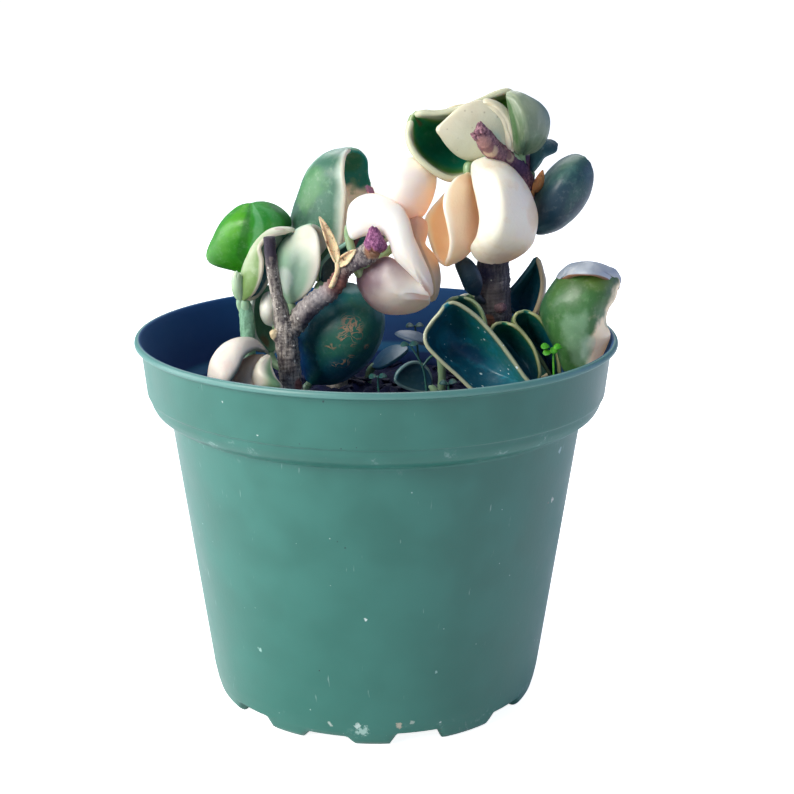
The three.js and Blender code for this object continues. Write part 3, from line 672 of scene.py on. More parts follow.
        "outline": "round", "root": (19, 11, 87), "base": (18, 10, 97), "tip": (6, 4, 102),
        "back": (11.5, 8, 100.5), "left": (-0.3, -2.6, -3), "right": (2.4, -0.8, 5.6), "small": True,
    },
    "leaf_soil_teal": {
        "outline": "oval", "root": (-3, 35, 87), "base": (-1, 34, 98), "tip": (11, 30, 105),
        "back": (5, 30, 103), "left": (0, -8, -1), "right": (0, 8, 1), "small": True,
    },
    "leaf_soil_lilac": {
        "outline": "oval", "root": (21, 18, 87), "base": (18, 14, 111), "tip": (6, 10, 115),
        "back": (12, 10, 114), "left": (0, -3, -1), "right": (0, 3, 1), "small": True,
    },
    "leaf_back_trunk": {
        "outline": "round", "root": (38, 16, 130), "base": (38, 24, 138), "tip": (34, 30, 168),
        "back": (36, 34, 152), "left": (-10, -6, 0), "right": (10, -6, 0),
    },
    "leaf_back_top": {
        "outline": "round", "root": (47, 12, 165), "base": (41, 20, 171), "tip": (20, 26, 182),
        "back": (31, 31, 177), "left": (-3, -6, -8), "right": (3, -6, 8),
    },
    "leaf_back_middle": {
        "outline": "round", "root": (-12, 28, 130), "base": (-3, 28, 140), "tip": (8, 32, 164),
        "back": (3, 39, 151), "left": (-8, -6, 0), "right": (8, -6, 0),
    },
    "leaf_back_left": {
        "outline": "oval", "root": (-12, 28, 130), "base": (-16, 32, 139), "tip": (-14, 38, 164),
        "back": (-16, 43, 152), "left": (-8, -6, 0), "right": (7, -6, 0),
    },
    "leaf_back_low": {
        "outline": "round", "root": (-13, 30, 96), "base": (-17, 35, 99), "tip": (-12, 45, 124),
        "back": (-15, 51, 110), "left": (-11, -8, 0), "right": (10, -8, 0),
    },
    "leaf_back_wall": {
        "outline": "round", "root": (52, 19, 87), "base": (54, 19, 98), "tip": (58, 24, 124),
        "back": (60, 27, 113), "left": (-7, -7, 0), "right": (5, -7, 0),
    },
    "leaf_back_inner": {
        "outline": "round", "root": (36, 34, 87), "base": (36, 35, 98), "tip": (32, 45, 121),
        "back": (34, 48, 108), "left": (-10, -7, 0), "right": (10, -7, 0),
    },
}

WEEDS = {
    "weed_trefoil": {
        "threads": [
            [(54.5, -22, 87), (54.5, -21.5, 103), (54, -20, 117)],
        ],
        "lean": 34,
        "leaflets": [
            (51.6, -20, 117.9, 8), (55.4, -20, 117.7, -6), (52.2, -20.5, 116.1, 20),
            (54.1, -20, 116.8, 95),
        ],
    },
    "weed_branching": {
        "threads": [
            [(17, -10, 87), (16, -10, 100), (14.5, -10, 109), (10.5, -9, 116)],
            [(14.5, -10, 109), (16.5, -9.5, 111.5), (18, -9, 112.5)],
        ],
        "leaflets": [(9, -9, 115.9, 5), (12, -9, 116.1, 15), (19, -9, 112.6, -10)],
    },
    "weed_small": {
        "threads": [
            [(1, 1, 87), (1, 0.5, 96), (0.5, 0, 103.5)],
        ],
        "leaflets": [(2.2, 0, 103.4, 0), (-1, 0, 103.3, 10)],
    },
    "weed_right": {
        "threads": [
            [(24, 0, 87), (23.5, -0.5, 95), (23, -1, 101.5)],
        ],
        "leaflets": [(24.6, -1, 101.8, 12), (21.5, -1, 101.4, -20)],
    },
    "weed_back": {
        "threads": [
            [(15, 26, 87), (14.5, 26.5, 100), (13, 27, 114)],
        ],
        "leaflets": [(14.6, 27, 114, 0), (11.3, 27, 113.9, 5)],
    },
}

# ---------- how each leaf looks ----------
# outer is the skin on the bulging side and inner the skin in the hollow, each as two colours. A fade is
# (a, b, low, high): the colours grade into each other where along * a + across * b goes from low to high.
# margin is the band along the edge, and its width is a share of the half width. margin_side 1 or -1 keeps
# it to one edge, and margin_blend is the colour just inside it. A patch is its place along and across,
# its length and width, its colour and its strength. gloss is the wax, glow is how much light enters the
# skin, bleed how far it spreads in millimetres, and through is the strength of a painted glow: the leaf
# gives off its own colour, tinted warm, as light, standing in for light that shines through it.

LOOKS = {
    "leaf_left_high": {
        "outer": ("2f8600", "2a9028"), "outer_fade": (0.0, 1.0, -0.35, 0.3),
        "inner": ("3d7a3a", "3d7a3a"), "margin": "d2d0b0", "margin_width": 0.03, "mottle": 0.3,
        "mottle_colour": "57a436", "stalk": "8fb58a", "gloss": 0.03, "glow": 0.3,
        "patches": [
            (0.6, 0.14, 0.5, 0.08, "84c88c", 0.45), (0.6, 0.45, 0.4, 0.12, "5cb468", 0.35),
            (0.55, -0.08, 0.7, 0.08, "165a0c", 0.6), (0.5, 0.75, 0.45, 0.14, "17602a", 0.7),
            (0.35, 1.0, 0.2, 0.12, "b9cfa0", 0.7), (0.45, -0.98, 0.35, 0.05, "dccab0", 0.8),
            (0.7, -0.4, 0.3, 0.25, "4f9c00", 0.6),
        ],
    },
    "leaf_left_curl": {
        "outer": ("7a9c50", "dad8c0"), "outer_fade": (1.0, 0.3, 0.15, 0.75),
        "inner": ("0e5a64", "10664e"), "margin": "e4dac4", "margin_width": 0.1, "mottle": 0.5,
        "mottle_colour": "9fb584", "stalk": "9cc09a", "glow": 0.25,
        "patches": [
            (0.9, -0.5, 0.05, 0.3, "b08a80", 0.7), (0.3, 0.0, 0.25, 0.3, "4f7f44", 0.6),
            (0.6, 0.3, 0.15, 0.2, "c9d6b4", 0.5),
        ],
    },
    "leaf_left_small": {
        "outer": ("9fc49a", "c2d6b4"), "inner": ("8db38a", "8db38a"), "margin": "d5e0c8",
        "margin_width": 0.2, "stalk": "9cc09a", "glow": 0.3,
    },
    "leaf_fork_pale": {
        "outer": ("a6cbaa", "f0e8d2"), "outer_fade": (0.9, -0.5, 0.65, 1.2),
        "inner": ("f6efe6", "ece2d4"), "margin": "efe8d6", "margin_width": 0.12, "margin_soft": 0.09,
        "mottle": 0.4, "mottle_colour": "c9dcc6", "glow": 0.25,
        "patches": [
            # the second patch, near white, is a painted highlight
            (0.3, -0.25, 0.3, 0.3, "9cc6a6", 0.45), (0.27, -0.4, 0.13, 0.2, "eef8ee", 0.75),
            (0.75, 0.1, 0.15, 0.2, "9cc0a0", 0.4),
        ],
    },
    "leaf_fork_white": {
        "outer": ("f4f3e6", "f7f0e0"), "inner": ("e6e3c8", "e6e3c8"), "margin": "f5efdc",
        "margin_width": 0.1, "glow": 0.3,
    },
    "leaf_left_low": {
        "outer": ("4d7c52", "6f9c6a"), "inner": ("6a9a74", "5a8f72"), "margin": "d5ded4",
        "margin_width": 0.12, "mottle": 0.4, "mottle_colour": "6f9a74",
        "patches": [
            (0.22, -0.35, 0.12, 0.3, "96694c", 0.7), (0.5, -0.5, 0.2, 0.3, "6b9a6c", 0.5),
        ],
    },
    "leaf_fork_dark": {
        "outer": ("0c4444", "1f5f50"), "inner": ("083a44", "155048"), "margin": "7fae9a",
        "margin_width": 0.08,
    },
    "leaf_scarred": {
        # The navy first outer colour on one side is painted shade; the pale blue-grey patches along the
        # edge (0.6 along) and at the tip (0.93 along) are a painted sheen.
        "outer": ("03407c", "14706c"), "outer_fade": (0.0, 1.0, -0.8, 0.0), "inner": ("1d4d40", "1d4d40"),
        "margin": "7fa4a8", "margin_width": 0.05, "mottle": 0.4, "mottle_colour": "2a8070", "scabs": 1.0,
        "patches": [
            (0.5, 0.1, 0.3, 0.4, "3f7a58", 0.55), (0.6, 0.86, 0.45, 0.12, "8fb4c0", 0.6),
            (0.93, 0.1, 0.07, 0.8, "9ab8c0", 0.6), (0.2, 0.3, 0.15, 0.4, "0a4a70", 0.6),
        ],
    },
    "leaf_rim_cream": {
        # Its grey-green margin on one edge is painted shade of the blade's curled-in side.
        "outer": ("fbeedc", "f9e8d8"), "inner": ("b99c84", "a88a74"), "margin": "76877a",
        "margin_width": 0.15, "margin_soft": 0.1, "margin_side": 1, "mottle": 0.25,
        "mottle_colour": "e6b9b4", "stalk": "8a6f6a", "glow": 0.25,
    },
    "leaf_rim_inner": {
        "outer": ("edd2b4", "e2bfa2"), "inner": ("f0d0b4", "e0b89c"), "margin": "f3e0c6",
        "margin_width": 0.16, "mottle": 0.3, "mottle_colour": "c99a92", "stalk": "8a6f6a", "glow": 0.3,
    },
    "leaf_rim_small": {
        "outer": ("f1e6d0", "7da578"), "outer_fade": (-0.5, 1.0, 0.1, 0.5), "inner": ("8ea57c", "dccfae"),
        "margin": "ead9c0", "margin_width": 0.14, "stalk": "7a4f58", "glow": 0.25,
    },
    "leaf_cup_tall": {
        "outer": ("3c6c54", "7aa48a"), "outer_fade": (0.8, 0.7, 0.1, 0.9), "inner": ("fffaf0", "04847a"),
        "inner_fade": (1.0, 0.0, 0.5, 0.56), "margin": "e2ddcb", "margin_width": 0.035,
        "margin_soft": 0.035, "margin_side": -1, "margin_blend": "a3b6a4", "mottle": 0.6,
        "mottle_colour": "7ba886", "glow": 0.4, "through": 0.12,
        "patches": [
            # the pale patches at 0.68 and 0.7 along are a painted highlight
            (0.42, -0.45, 0.12, 0.25, "24503c", 0.7), (0.56, -0.5, 0.15, 0.25, "4a8a40", 0.6),
            (0.72, -0.2, 0.12, 0.2, "9dbfa6", 0.5), (0.85, -0.3, 0.14, 0.6, "a0bea8", 0.35),
            (0.85, 0.75, 0.2, 0.2, "0f6a34", 0.6), (0.68, 0.25, 0.08, 0.12, "a8c8b0", 0.3),
            (0.3, 0.2, 0.12, 0.2, "22503e", 0.5), (0.7, 0.5, 0.07, 0.12, "dceae0", 0.55),
            (0.4, 0.1, 0.08, 0.12, "a9c8b4", 0.5), (0.5, 0.05, 0.06, 0.2, "1c4636", 0.5),
        ],
    },
    "leaf_pink_round": {
        # The pink at its base end is partly the leaf's own blush and partly painted shade.
        "outer": ("fcd0c0", "fff2e8"), "outer_fade": (1.0, 0.0, 0.05, 0.55),
        "inner": ("f3d3c0", "f3d3c0"), "margin": "fde6da", "margin_width": 0.08, "glow": 0.85,
        "bleed": 5.0, "through": 0.15,
    },
    "leaf_hood_white": {
        "outer": ("fdf3ea", "fdefe2"), "inner": ("f6dcc6", "f6dcc6"), "margin": "f7e4d4",
        "margin_width": 0.1, "glow": 0.8, "bleed": 5.0, "through": 0.08,
        "patches": [
            # this pinkish patch along one edge is painted shade
            (0.45, -0.85, 0.3, 0.2, "f3c9b6", 0.6),
        ],
    },
    "leaf_bowl_white": {
        # The mauve first outer colour is partly the leaf's own colour and partly the painted shadow of the
        # branch above it.
        "outer": ("785e68", "fdf6ea"), "outer_fade": (1.0, 0.1, 0.18, 0.6), "inner": ("f4d6b6", "f6dcc0"),
        "margin": "f3e4d2", "margin_width": 0.05, "mottle": 0.15, "mottle_colour": "c9b8a6", "glow": 0.8,
        "bleed": 5.0, "through": 0.08,
    },
    "bowl_back": {
        "outer": ("f0c8b4", "e9c9a6"), "outer_fade": (1.0, 0.0, 0.1, 0.5), "inner": ("e9cbb0", "e9cbb0"),
        "margin": "f3dcc4", "margin_width": 0.08, "glow": 0.3,
    },
    "leaf_tan_fold": {
        "outer": ("ffdeb6", "ffe4c0"), "inner": ("fcd8ac", "fddcb4"), "margin": "fdeed8",
        "margin_width": 0.08, "mottle": 0.12, "mottle_colour": "f2cf9c", "glow": 0.6, "bleed": 4.0,
        "through": 0.11,
    },
    "leaf_egg_white": {
        # The tan second outer colour is partly the leaf's own tan mottling and partly painted shade towards
        # its lower tip.
        "outer": ("fff2dc", "dcb98c"), "outer_fade": (0.7, 0.5, 0.5, 1.25), "inner": ("ecd4b0", "ecd4b0"),
        "margin": "f0dec4", "margin_width": 0.06, "mottle": 0.3, "mottle_colour": "eccfa4", "glow": 0.7,
        "bleed": 5.0, "through": 0.08,
        "patches": [
            (0.55, 0.55, 0.14, 0.25, "e2bf90", 0.4), (0.95, 0.1, 0.1, 0.7, "c9b49c", 0.5),
        ],
    },
    "leaf_top_cup": {
        "outer": ("b4c4a0", "d6d6b4"), "inner": ("047a5c", "0a7a3c"), "inner_fade": (1.0, 0.0, 0.5, 1.0),
        "margin": "cfceac", "margin_width": 0.22, "margin_soft": 0.09, "margin_blend": "5f8a2c",
        "mottle": 0.2, "mottle_colour": "0a6a3c", "glow": 0.25,
        "patches": [
            # the bright yellow-green patch at 0.12 along is painted light inside the hollow
            (0.95, 0.0, 0.05, 0.3, "6a4a30", 0.8), (0.12, 0.0, 0.25, 1.0, "8ac834", 0.75),
        ],
    },
    "leaf_top_pale": {
        "outer": ("c2c8ac", "ddd4b8"), "outer_fade": (0.8, -0.3, 0.1, 0.9), "inner": ("3a782e", "3a782e"),
        "margin": "e0d4b4", "margin_width": 0.1, "mottle": 0.25, "mottle_colour": "d2c4a4",
        "specks": 0.35, "speck_colour": "7a6a50", "glow": 0.2, "through": 0.05,
        "patches": [
            (0.15, 0.1, 0.2, 0.4, "9fcab8", 0.6),
        ],
    },
    "top_ridge": {
        "outer": ("d9cfae", "ece0c4"), "inner": ("dccfb0", "dccfb0"), "margin": "efe4ca",
        "margin_width": 0.2, "glow": 0.25,
    },
    "leaf_top_round": {
        "outer": ("526c4c", "9ca486"), "outer_fade": (0.9, 0.3, 0.0, 0.9), "inner": ("3f7a2c", "3f7a2c"),
        "margin": "c4c0a0", "margin_width": 0.04, "margin_side": -1, "streaks": 0.4,
        "streak_colour": "a8b094", "mottle": 0.4, "mottle_colour": "6c8866",
        "patches": [
            (0.12, -0.3, 0.16, 0.5, "2f5240", 0.6), (0.5, -0.75, 0.4, 0.14, "3c6834", 0.7),
            (0.6, 0.7, 0.3, 0.3, "5f7f78", 0.5),
        ],
    },
    "leaf_teal_small": {
        "outer": ("3f6c76", "174650"), "inner": ("1d4650", "1a444c"), "margin": "7f9c9e",
        "margin_width": 0.08, "mottle": 0.4, "mottle_colour": "5a8088",
    },
    "leaf_teal_long": {
        "outer": ("063648", "3a6658"), "outer_fade": (0.8, -0.6, 0.35, 1.25),
        "inner": ("1c4f4c", "1c4f4c"), "margin": "5a7c76", "margin_width": 0.03, "mottle": 0.5,
        "mottle_colour": "4f7c70",
        "patches": [
            (0.25, 0.0, 0.3, 0.4, "04384c", 0.5), (0.7, 0.35, 0.25, 0.2, "1c5450", 0.6),
            (0.15, 0.5, 0.15, 0.2, "4a6470", 0.5), (0.8, -0.5, 0.2, 0.25, "5a8068", 0.6),
        ],
    },
    "leaf_trunk_dark": {
        "outer": ("0c2c46", "16404e"), "inner": ("0e3648", "0e3648"), "margin": "5a6a60",
        "margin_width": 0.05, "mottle": 0.5, "mottle_colour": "08203a", "stalk": "2a3440",
    },
    "leaf_front_cup": {
        "outer": ("7c9068", "a8a880"), "inner": ("035a70", "04746c"), "inner_fade": (0.5, 0.6, 0.0, 0.9),
        "margin": "aeb08c", "margin_width": 0.06, "margin_soft": 0.03, "margin_blend": "3f7450",
        "mottle": 0.75, "mottle_colour": "0c8498", "specks": 1.0, "speck_colour": "e6f4f2", "gloss": 0.6,
        "patches": [
            (0.62, -0.25, 0.16, 0.3, "10869a", 0.6), (0.3, 0.35, 0.12, 0.3, "0a7488", 0.6),
            (0.45, 0.0, 0.1, 0.4, "02305c", 0.6),
        ],
    },
    "leaf_front_behind": {
        "outer": ("2f6650", "4d7f5c"), "inner": ("065460", "0e6458"), "margin": "a3b688",
        "margin_width": 0.13, "margin_soft": 0.04, "margin_blend": "4f8a4a",
    },
    "leaf_front_middle": {
        "outer": ("4f7a48", "7f945c"), "inner": ("04506a", "0a7048"), "margin": "aeb07c",
        "margin_width": 0.06, "margin_soft": 0.03, "margin_blend": "3c7a2c",
    },
    "leaf_front_right": {
        "outer": ("3f6c40", "728c50"), "inner": ("03406a", "086450"), "margin": "a4a874",
        "margin_width": 0.06, "margin_soft": 0.03, "margin_blend": "2f6c28",
    },
    "leaf_pointed": {
        "outer": ("0c3c54", "1d5c60"), "inner": ("024068", "05606a"), "margin": "cbb896",
        "margin_width": 0.22, "margin_side": 1,
    },
    "leaf_rim_tall": {
        "outer": ("386834", "385410"), "outer_fade": (1.0, 0.1, 0.4, 0.85), "inner": ("e9dcc0", "cfc49a"),
        "margin": "2f5c30", "margin_width": 0.05, "mottle": 0.6, "mottle_colour": "4a7c44", "glow": 0.15,
        "through": 0.22,
        "patches": [
            (0.5, -0.85, 0.4, 0.3, "1f5030", 0.7), (0.16, 0.6, 0.28, 0.5, "fff2cc", 0.95),
            # the two pale mint patches at 0.3 and 0.2 along are a painted highlight
            (0.3, -0.1, 0.2, 0.3, "86ab8e", 0.45), (0.2, 0.1, 0.1, 0.2, "a9c9b4", 0.5),
            (0.56, 0.9, 0.22, 0.3, "f6e8c4", 0.9), (0.5, 0.97, 0.06, 0.1, "8a5a34", 0.8),
            (0.72, 0.2, 0.1, 0.3, "5c7a34", 0.5), (0.9, 0.0, 0.08, 0.8, "5a8484", 0.5),
        ],
    },
    "rim_strip": {
        "outer": ("9aa4b0", "c0c2c4"), "inner": ("8f97a4", "8f97a4"), "margin": "8a5f45",
        "margin_width": 0.16, "margin_side": -1, "mottle": 0.5, "mottle_colour": "c9c8c8",
    },
    "leaf_soil_grey": {
        "outer": ("17485a", "4c7478"), "inner": ("0f3a50", "2c5a60"), "margin": "6f8c8c",
        "margin_width": 0.08,
    },
    "leaf_soil_teal": {
        "outer": ("04486a", "0c5c70"), "inner": ("033c5c", "0a5068"), "margin": "14607a",
        "margin_width": 0.08,
    },
    "leaf_soil_lilac": {
        "outer": ("6c7f9a", "5c7484"), "inner": ("5c7088", "5c7088"), "margin": "8494a4",
        "margin_width": 0.1,
    },
}
BACK_LOOKS = [  # taken in turn by the leaves at the back
    {
        "outer": ("9cbf98", "d8dcbc"), "outer_fade": (0.8, 0.5, 0.2, 1.0), "inner": ("5d8f62", "7ea577"),
        "margin": "ece0c4", "margin_width": 0.18, "streaks": 0.4, "streak_colour": "cfdcbc",
    },
    {
        "outer": ("2d6a4a", "4b8558"), "inner": ("1a5244", "2a6448"), "margin": "dccfa6",
        "margin_width": 0.14, "mottle": 0.5, "mottle_colour": "7fa583",
    },
]

# ---------- small tools ----------


def tint(code):
    """A colour written as six hexadecimal digits, as the linear colour that a shader takes."""
    parts = [int(code[i : i + 2], 16) / 255 for i in (0, 2, 4)]
    return [p / 12.92 if p <= 0.04045 else ((p + 0.055) / 1.055) ** 2.4 for p in parts] + [1]


def keep(name, bm, nodes, material, smooth=True):
    """The finished piece: it rides on the plant, stands for its nodes and takes its slot."""
    mesh = bpy.data.meshes.new(name)
    bm.to_mesh(mesh)
    bm.free()
    if smooth:
        mesh.shade_smooth()
    else:
        mesh.shade_flat()
    mesh.materials.append(material)
    piece = bpy.data.objects.new(name, mesh)
    bpy.context.collection.objects.link(piece)
    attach(piece, "root")
    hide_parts(*nodes)
    return piece


def unit(a):
    """A vector, or each row of many, with its length made 1."""
    return a / np.maximum(np.linalg.norm(a, axis=-1, keepdims=True), 1e-12)


def smooth_line(points, shares):
    """Places along a smooth line through the points, at shares of its run from 0 to 1."""
    p = np.array(points, float) * MM
    knots = np.concatenate([[0], np.cumsum(np.sqrt(np.linalg.norm(np.diff(p, axis=0), axis=1)))])
    slope = np.gradient(p, knots, axis=0)
    at = np.clip(np.asarray(shares), 0, 1) * (len(p) - 1)
    i = np.minimum(at.astype(int), len(p) - 2)
    f = (at - i)[:, None]
    h = (knots[i + 1] - knots[i])[:, None]
    return (
        (2 * f**3 - 3 * f**2 + 1) * p[i] + (f**3 - 2 * f**2 + f) * h * slope[i]
        + (3 * f**2 - 2 * f**3) * p[i + 1] + (f**3 - f**2) * h * slope[i + 1]
    )


def lumps(place, scale, seed):
    """Smooth unevenness from -1 to 1 at a place in metres; scale is its grain in millimetres."""
    return noise.noise(Vector(place) / (scale * MM) + Vector((seed * 7.3, seed * 3.1, seed)))


# ---------- node groups and materials ----------


def add(tree, kind, inputs=None, **settings):
    """One shader node with its settings; an input is another node's output or a plain value."""
    node = tree.nodes.new(kind)
    for key, value in settings.items():
        setattr(node, key, value)
    for key, value in (inputs or {}).items():
        if isinstance(value, bpy.types.NodeSocket):
            tree.links.new(value, node.inputs[key])
        else:
            node.inputs[key].default_value = value
    return node


def maths(tree, operation, a, b=0.0):
    """One sum on plain values."""
    return add(tree, "ShaderNodeMath", {0: a, 1: b}, operation=operation).outputs[0]


def noisy(tree, where, scale, detail, **more):
    """Cloudy noise at a grain."""
    values = {"Vector": where, "Scale": scale, "Detail": detail, **more}
    return add(tree, "ShaderNodeTexNoise", values).outputs[0]


def graded_value(tree, value, low, high, start, end):
    """A straight grade from start at low to end at high."""
    return add(tree, "ShaderNodeMapRange", {0: value, 1: low, 2: high, 3: start, 4: end}).outputs[0]


def ramp(tree, value, low, high):
    """A smooth step from 0 at low to 1 at high."""
    return add(
        tree, "ShaderNodeMapRange", {0: value, 1: low, 2: high, 3: 0.0, 4: 1.0},
        interpolation_type="SMOOTHSTEP",
    ).outputs[0]


def blend(tree, share, a, b):
    """Colour a where share is 0 and b where it is 1."""
    mix = add(tree, "ShaderNodeMix", data_type="RGBA")
    for socket, value in ((0, share), (6, a), (7, b)):
        if isinstance(value, bpy.types.NodeSocket):
            tree.links.new(value, mix.inputs[socket])
        else:
            mix.inputs[socket].default_value = value
    return mix.outputs[2]


def group(name, inputs, outputs):
    """An empty node group with named plain inputs and outputs."""
    tree = bpy.data.node_groups.new(name, "ShaderNodeTree")
    for title, value in inputs.items():
        socket = tree.interface.new_socket(title, in_out="INPUT", socket_type="NodeSocketFloat")
        socket.default_value = value
    for title in outputs:
        tree.interface.new_socket(title, in_out="OUTPUT", socket_type="NodeSocketFloat")
    return tree, tree.nodes.new("NodeGroupInput").outputs, tree.nodes.new("NodeGroupOutput").inputs


def use(tree, name, **values):
    """The outputs of a shared node group, placed with its own values."""
    node = add(tree, "ShaderNodeGroup", node_tree=bpy.data.node_groups[name])
    for title, value in values.items():
        socket = node.inputs[title.replace("_", " ")]
        if isinstance(value, bpy.types.NodeSocket):
            tree.links.new(value, socket)
        else:
            socket.default_value = value
    return node.outputs


def leaf_zones_group():
    """Where a point is on its leaf: along, across, in the hollow or on the stalk, and a ragged edge."""
    tree, given, out = group(
        "leaf zones", {"Waver": 0.05}, ["Along", "Across", "Hollow", "Stalk", "End", "Waver"]
    )
    place = add(tree, "ShaderNodeAttribute", attribute_name="leaf_place").outputs["Vector"]
    parts = add(tree, "ShaderNodeSeparateXYZ", {0: place}).outputs
    where = add(tree, "ShaderNodeTexCoord").outputs["Object"]
    drift = noisy(tree, where, 210.0, 4.0)
    tree.links.new(parts["X"], out["Along"])
    tree.links.new(parts["Y"], out["Across"])
    tree.links.new(ramp(tree, parts["Z"], -0.25, 0.25), out["Hollow"])
    tree.links.new(ramp(tree, parts["X"], 0.0, -0.05), out["Stalk"])
    tree.links.new(ramp(tree, parts["X"], 0.93, 1.03), out["End"])
    uneven = maths(tree, "SUBTRACT", drift, 0.5)
    tree.links.new(maths(tree, "MULTIPLY", uneven, given["Waver"]), out["Waver"])


def leaf_patch_group():
    """A soft oval patch at a place on the leaf, with a ragged border."""
    tree, given, out = group(
        "leaf patch", {"At Along": 0.5, "At Across": 0.0, "Length": 0.2, "Width": 0.2, "Waver": 0.0},
        ["Patch"],
    )
    place = add(tree, "ShaderNodeAttribute", attribute_name="leaf_place").outputs["Vector"]
    parts = add(tree, "ShaderNodeSeparateXYZ", {0: place}).outputs
    reach = []
    for axis, at, size in (("X", "At Along", "Length"), ("Y", "At Across", "Width")):
        away = maths(tree, "DIVIDE", maths(tree, "SUBTRACT", parts[axis], given[at]), given[size])
        reach.append(maths(tree, "MULTIPLY", away, away))
    away = maths(tree, "SQRT", maths(tree, "ADD", reach[0], reach[1]))
    away = maths(tree, "ADD", away, maths(tree, "MULTIPLY", given["Waver"], 12.0))
    tree.links.new(ramp(tree, away, 1.25, 0.55), out["Patch"])


def streaks_group():
    """Soft streaks that run along the leaf."""
    tree, given, out = group("leaf streaks", {"Fineness": 5.0, "Seed": 0.0}, ["Streak"])
    place = add(tree, "ShaderNodeAttribute", attribute_name="leaf_place").outputs["Vector"]
    parts = add(tree, "ShaderNodeSeparateXYZ", {0: place}).outputs
    coords = add(tree, "ShaderNodeCombineXYZ", {
        0: maths(tree, "ADD", maths(tree, "MULTIPLY", parts["X"], 1.8), given["Seed"]),
        1: maths(tree, "MULTIPLY", parts["Y"], given["Fineness"]),
        2: parts["Z"],
    }).outputs[0]
    wavy = noisy(tree, coords, 1.0, 5.0, Roughness=0.7, Distortion=0.6)
    tree.links.new(ramp(tree, wavy, 0.42, 0.68), out["Streak"])


def mottle_group():
    """Cloudy patches, the pores and fine lumps of a waxy skin as a height, a broad tone and its bloom."""
    tree, given, out = group("mottle", {"Grain": 180.0, "Seed": 0.0}, ["Patch", "Height", "Tone", "Bloom"])
    where = add(tree, "ShaderNodeTexCoord").outputs["Object"]
    moved = add(tree, "ShaderNodeVectorMath", {0: where, 1: given["Seed"]}, operation="ADD").outputs[0]
    cloud = noisy(tree, moved, given["Grain"], 5.0, Roughness=0.62, Distortion=0.4)
    broad = noisy(tree, moved, 60.0, 2.0)
    pores = add(tree, "ShaderNodeTexVoronoi", {"Vector": moved, "Scale": 1500.0}).outputs["Distance"]
    fine = noisy(tree, moved, 700.0, 3.0)
    dusty = noisy(tree, moved, 420.0, 6.0, Roughness=0.7)
    height = maths(tree, "ADD", maths(tree, "MULTIPLY", pores, 0.25), fine)
    tree.links.new(ramp(tree, cloud, 0.5, 0.68), out["Patch"])
    tree.links.new(height, out["Height"])
    tree.links.new(broad, out["Tone"])
    tree.links.new(ramp(tree, dusty, 0.5, 0.68), out["Bloom"])


def dots_group():
    """Scattered small dots, each a random size."""
    tree, given, out = group("dots", {"Scale": 900.0, "Size": 0.2, "Share": 0.3}, ["Dot"])
    where = add(tree, "ShaderNodeTexCoord").outputs["Object"]
    cells = add(tree, "ShaderNodeTexVoronoi", {"Vector": where, "Scale": given["Scale"]})
    chance = add(tree, "ShaderNodeSeparateColor", {0: cells.outputs["Color"]}).outputs
    size = maths(tree, "MULTIPLY", given["Size"], maths(tree, "ADD", chance[1], 0.3))
    dot = maths(tree, "LESS_THAN", cells.outputs["Distance"], size)
    chosen = maths(tree, "LESS_THAN", chance[0], given["Share"])
    tree.links.new(maths(tree, "MULTIPLY", dot, chosen), out["Dot"])


# Its last colour tints the painted glow that the pale leaves give off.
LEAF_SKIN = {  # the colours that all leaves share
    "shade": "203028", "bloom": "eef2e6", "scar": ("c09a78", "86604a"), "painted_glow_tint": "ffd4ba",
}
LEAF_LOOK = {  # what a leaf has where its own look says nothing
    "outer_fade": (1.0, 0.0, 0.0, 1.0), "inner_fade": (1.0, 0.0, 0.0, 1.0), "margin_soft": 0.05,
    "margin_side": 0, "margin_blend": None, "streaks": 0.0, "mottle": 0.0, "specks": 0.0, "scabs": 0.0,
    "patches": [], "stalk": "8fae84", "gloss": 0.2, "glow": 0.1, "bleed": 3.0, "through": 0.0,
}


def new_material(name):
    """A material with its node tree and its main shader."""
    material = bpy.data.materials.new(name)
    material.use_nodes = True
    tree = material.node_tree
    principled = tree.nodes["Principled BSDF"]
    return material, tree, principled


def bump(tree, height, strength, distance):
    """A normal that follows a height."""
    return add(
        tree, "ShaderNodeBump", {"Height": height, "Strength": strength, "Distance": distance}
    ).outputs["Normal"]


